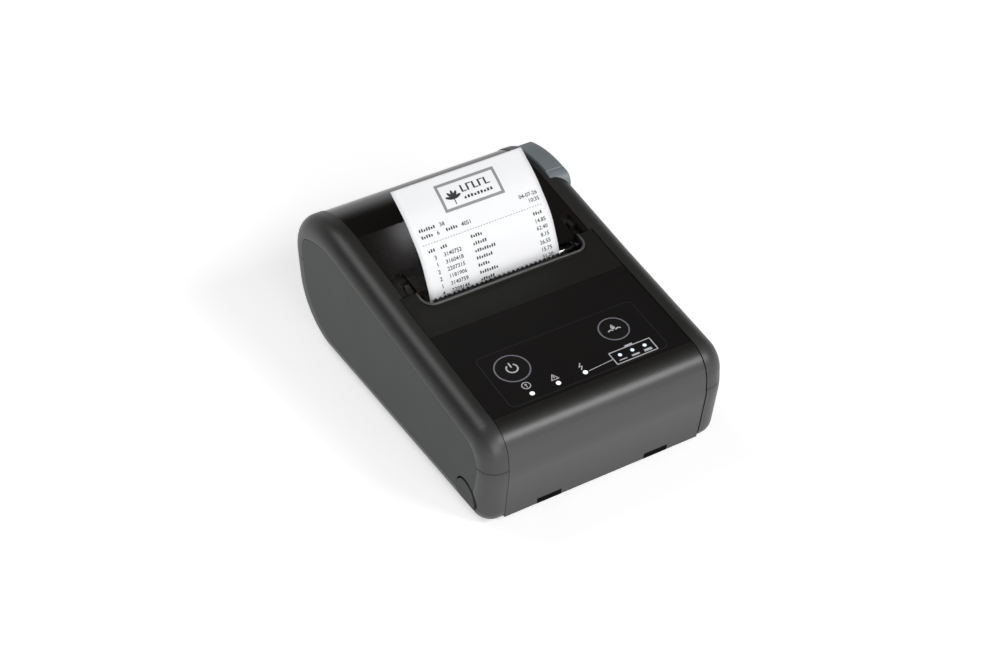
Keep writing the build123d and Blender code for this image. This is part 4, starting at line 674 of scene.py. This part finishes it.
def makeExitBead():
    # a rounded bead along the exit's lip: its rounding catches the lamps, and its paler tone is painted
    # highlight
    tilt, half, corner = exitLip["slope"], exitLip["half"], exitLip["corner"]
    flat = [(-half, exitLip["endY"]), (-half, exitLip["frontY"] + corner)]
    for side, start in ((-1, pi), (1, 1.5 * pi)):
        for step in range(1, 13):
            angle = start + pi / 2 * step / 12
            flat.append((side * (half - corner) + corner * cos(angle),
                         exitLip["frontY"] + corner + corner * sin(angle)))
    flat.append((half, exitLip["endY"]))
    up, originY, originZ = exitLip["proud"], exitLip["originY"], exitLip["originZ"]
    places = [Vector((x, originY + (y - originY) * cos(tilt) - up * sin(tilt),
                      originZ + (y - originY) * sin(tilt) + up * cos(tilt))) * mm for x, y in flat]
    sweepRound("exitBead", places, exitLip["radius"], finishes["bead"], "printer")


makeExitBead()

toeSlot = {"x": 23.4, "width": 10.4, "lowZ": 2.34, "highZ": 5.2, "frontY": -73.64, "depth": 2.4, "lean": 0.23}


def makeToeSlotShade():
    # near-black blocks painted into the two slots at the foot of the front face as their shade, taller than
    # the slots and a hair proud of the face
    bm = bmesh.new()
    for side in (-1, 1):
        middle = Vector((side * toeSlot["x"], toeSlot["frontY"],
                         (toeSlot["lowZ"] + toeSlot["highZ"]) / 2)) * mm
        spot = (Matrix.Translation(middle) @ Matrix.Rotation(pi / 2, 4, "X")
                @ Matrix.Diagonal((toeSlot["width"] * mm, (toeSlot["highZ"] - toeSlot["lowZ"]) * mm, 1, 1)))
        start = len(bm.faces)
        bmesh.ops.create_grid(bm, x_segments=8, y_segments=2, size=0.5, matrix=spot)
        pushed = bmesh.ops.extrude_face_region(bm, geom=bm.faces[start:])
        moved = [item for item in pushed["geom"] if isinstance(item, bmesh.types.BMVert)]
        bmesh.ops.translate(bm, verts=moved, vec=(0, toeSlot["depth"] * mm, 0))
    for vert in bm.verts:    # the front face leans out as it rises
        vert.co.y -= toeSlot["lean"] * (vert.co.z - toeSlot["lowZ"] * mm)
    bmesh.ops.recalc_face_normals(bm, faces=bm.faces)
    addPiece("toeSlotShade", bm, finishes["deepBlack"], "printer")


makeToeSlotShade()
print("stage 5: the exit's bead and the toe's slots are in")


studio = {
    "floorSize": 6.0, "floorDrop": 0.0002, "floorGlow": 0.50, "lampAim": (0, 0, 0.03),
    "horizon": 0.75, "zenith": 0.04, "low": 0.04, "high": 0.46,
    "lamps": [   # name, place, size, watts
        ("keyLamp", (-0.30, -1.74, 0.74), 1.3, 20.5),
        ("topLamp", (-0.42, 0.74, 1.25), 0.7, 6.0),
        ("browLamp", (0.56, -1.10, 1.00), 0.46, 9.5),
        ("coverGlint", (0.51, 0.815, 1.225), 0.022, 0.016),
    ],
}


def makeStudio():
    bm = bmesh.new()
    bmesh.ops.create_grid(bm, x_segments=1, y_segments=1, size=studio["floorSize"] / 2)
    bmesh.ops.translate(bm, verts=bm.verts, vec=(0, 0, -studio["floorDrop"]))
    mesh = bpy.data.meshes.new("floor")
    bm.to_mesh(mesh)
    bm.free()
    floor = bpy.data.objects.new("floor", mesh)
    bpy.context.scene.collection.objects.link(floor)
    finish = Finish("paleFloor")
    seen = finish.node("LightPath", output="Is Camera Ray")
    for ray in ("Is Glossy Ray", "Is Transmission Ray"):
        seen = seen.combine("MAXIMUM", seen, finish.node("LightPath", output=ray))
    mesh.materials.append(finish.surface(
        Base_Color=(0.86, 0.86, 0.86, 1), Roughness=0.8, Specular_IOR_Level=0.1,
        Emission_Color=finish.shade((0, 0, 0), (studio["floorGlow"],) * 3, seen), Emission_Strength=1.0))

    world = bpy.data.worlds.new("studioWorld")
    bpy.context.scene.world = world
    world.use_nodes = True
    air = Wiring(world.node_tree)
    sky = air.tree.nodes["Background"]
    way = air.node("TexCoord", output="Generated")
    level = air.node("MapRange", {"interpolation_type": "SMOOTHSTEP"}, {   # bright low down, deep overhead
        "Value": air.node("SeparateXYZ", inputs={0: way}, output="Z"),
        "From Min": studio["low"], "From Max": studio["high"],
        "To Min": studio["horizon"], "To Max": studio["zenith"]})
    sky.inputs["Color"].default_value = (1, 1, 1, 1)
    air.tree.links.new(level.socket, sky.inputs["Strength"])

    for name, place, size, watts in studio["lamps"]:
        data = bpy.data.lights.new(name, "AREA")
        data.size, data.energy = size, watts
        lamp = bpy.data.objects.new(name, data)
        lamp.location = place
        lamp.rotation_mode = "QUATERNION"
        lamp.rotation_quaternion = (Vector(studio["lampAim"]) - Vector(place)).to_track_quat("-Z", "Y")
        bpy.context.scene.collection.objects.link(lamp)
    bpy.context.scene.view_settings.view_transform = "Standard"


makeStudio()
print("stage 6: the studio is lit")
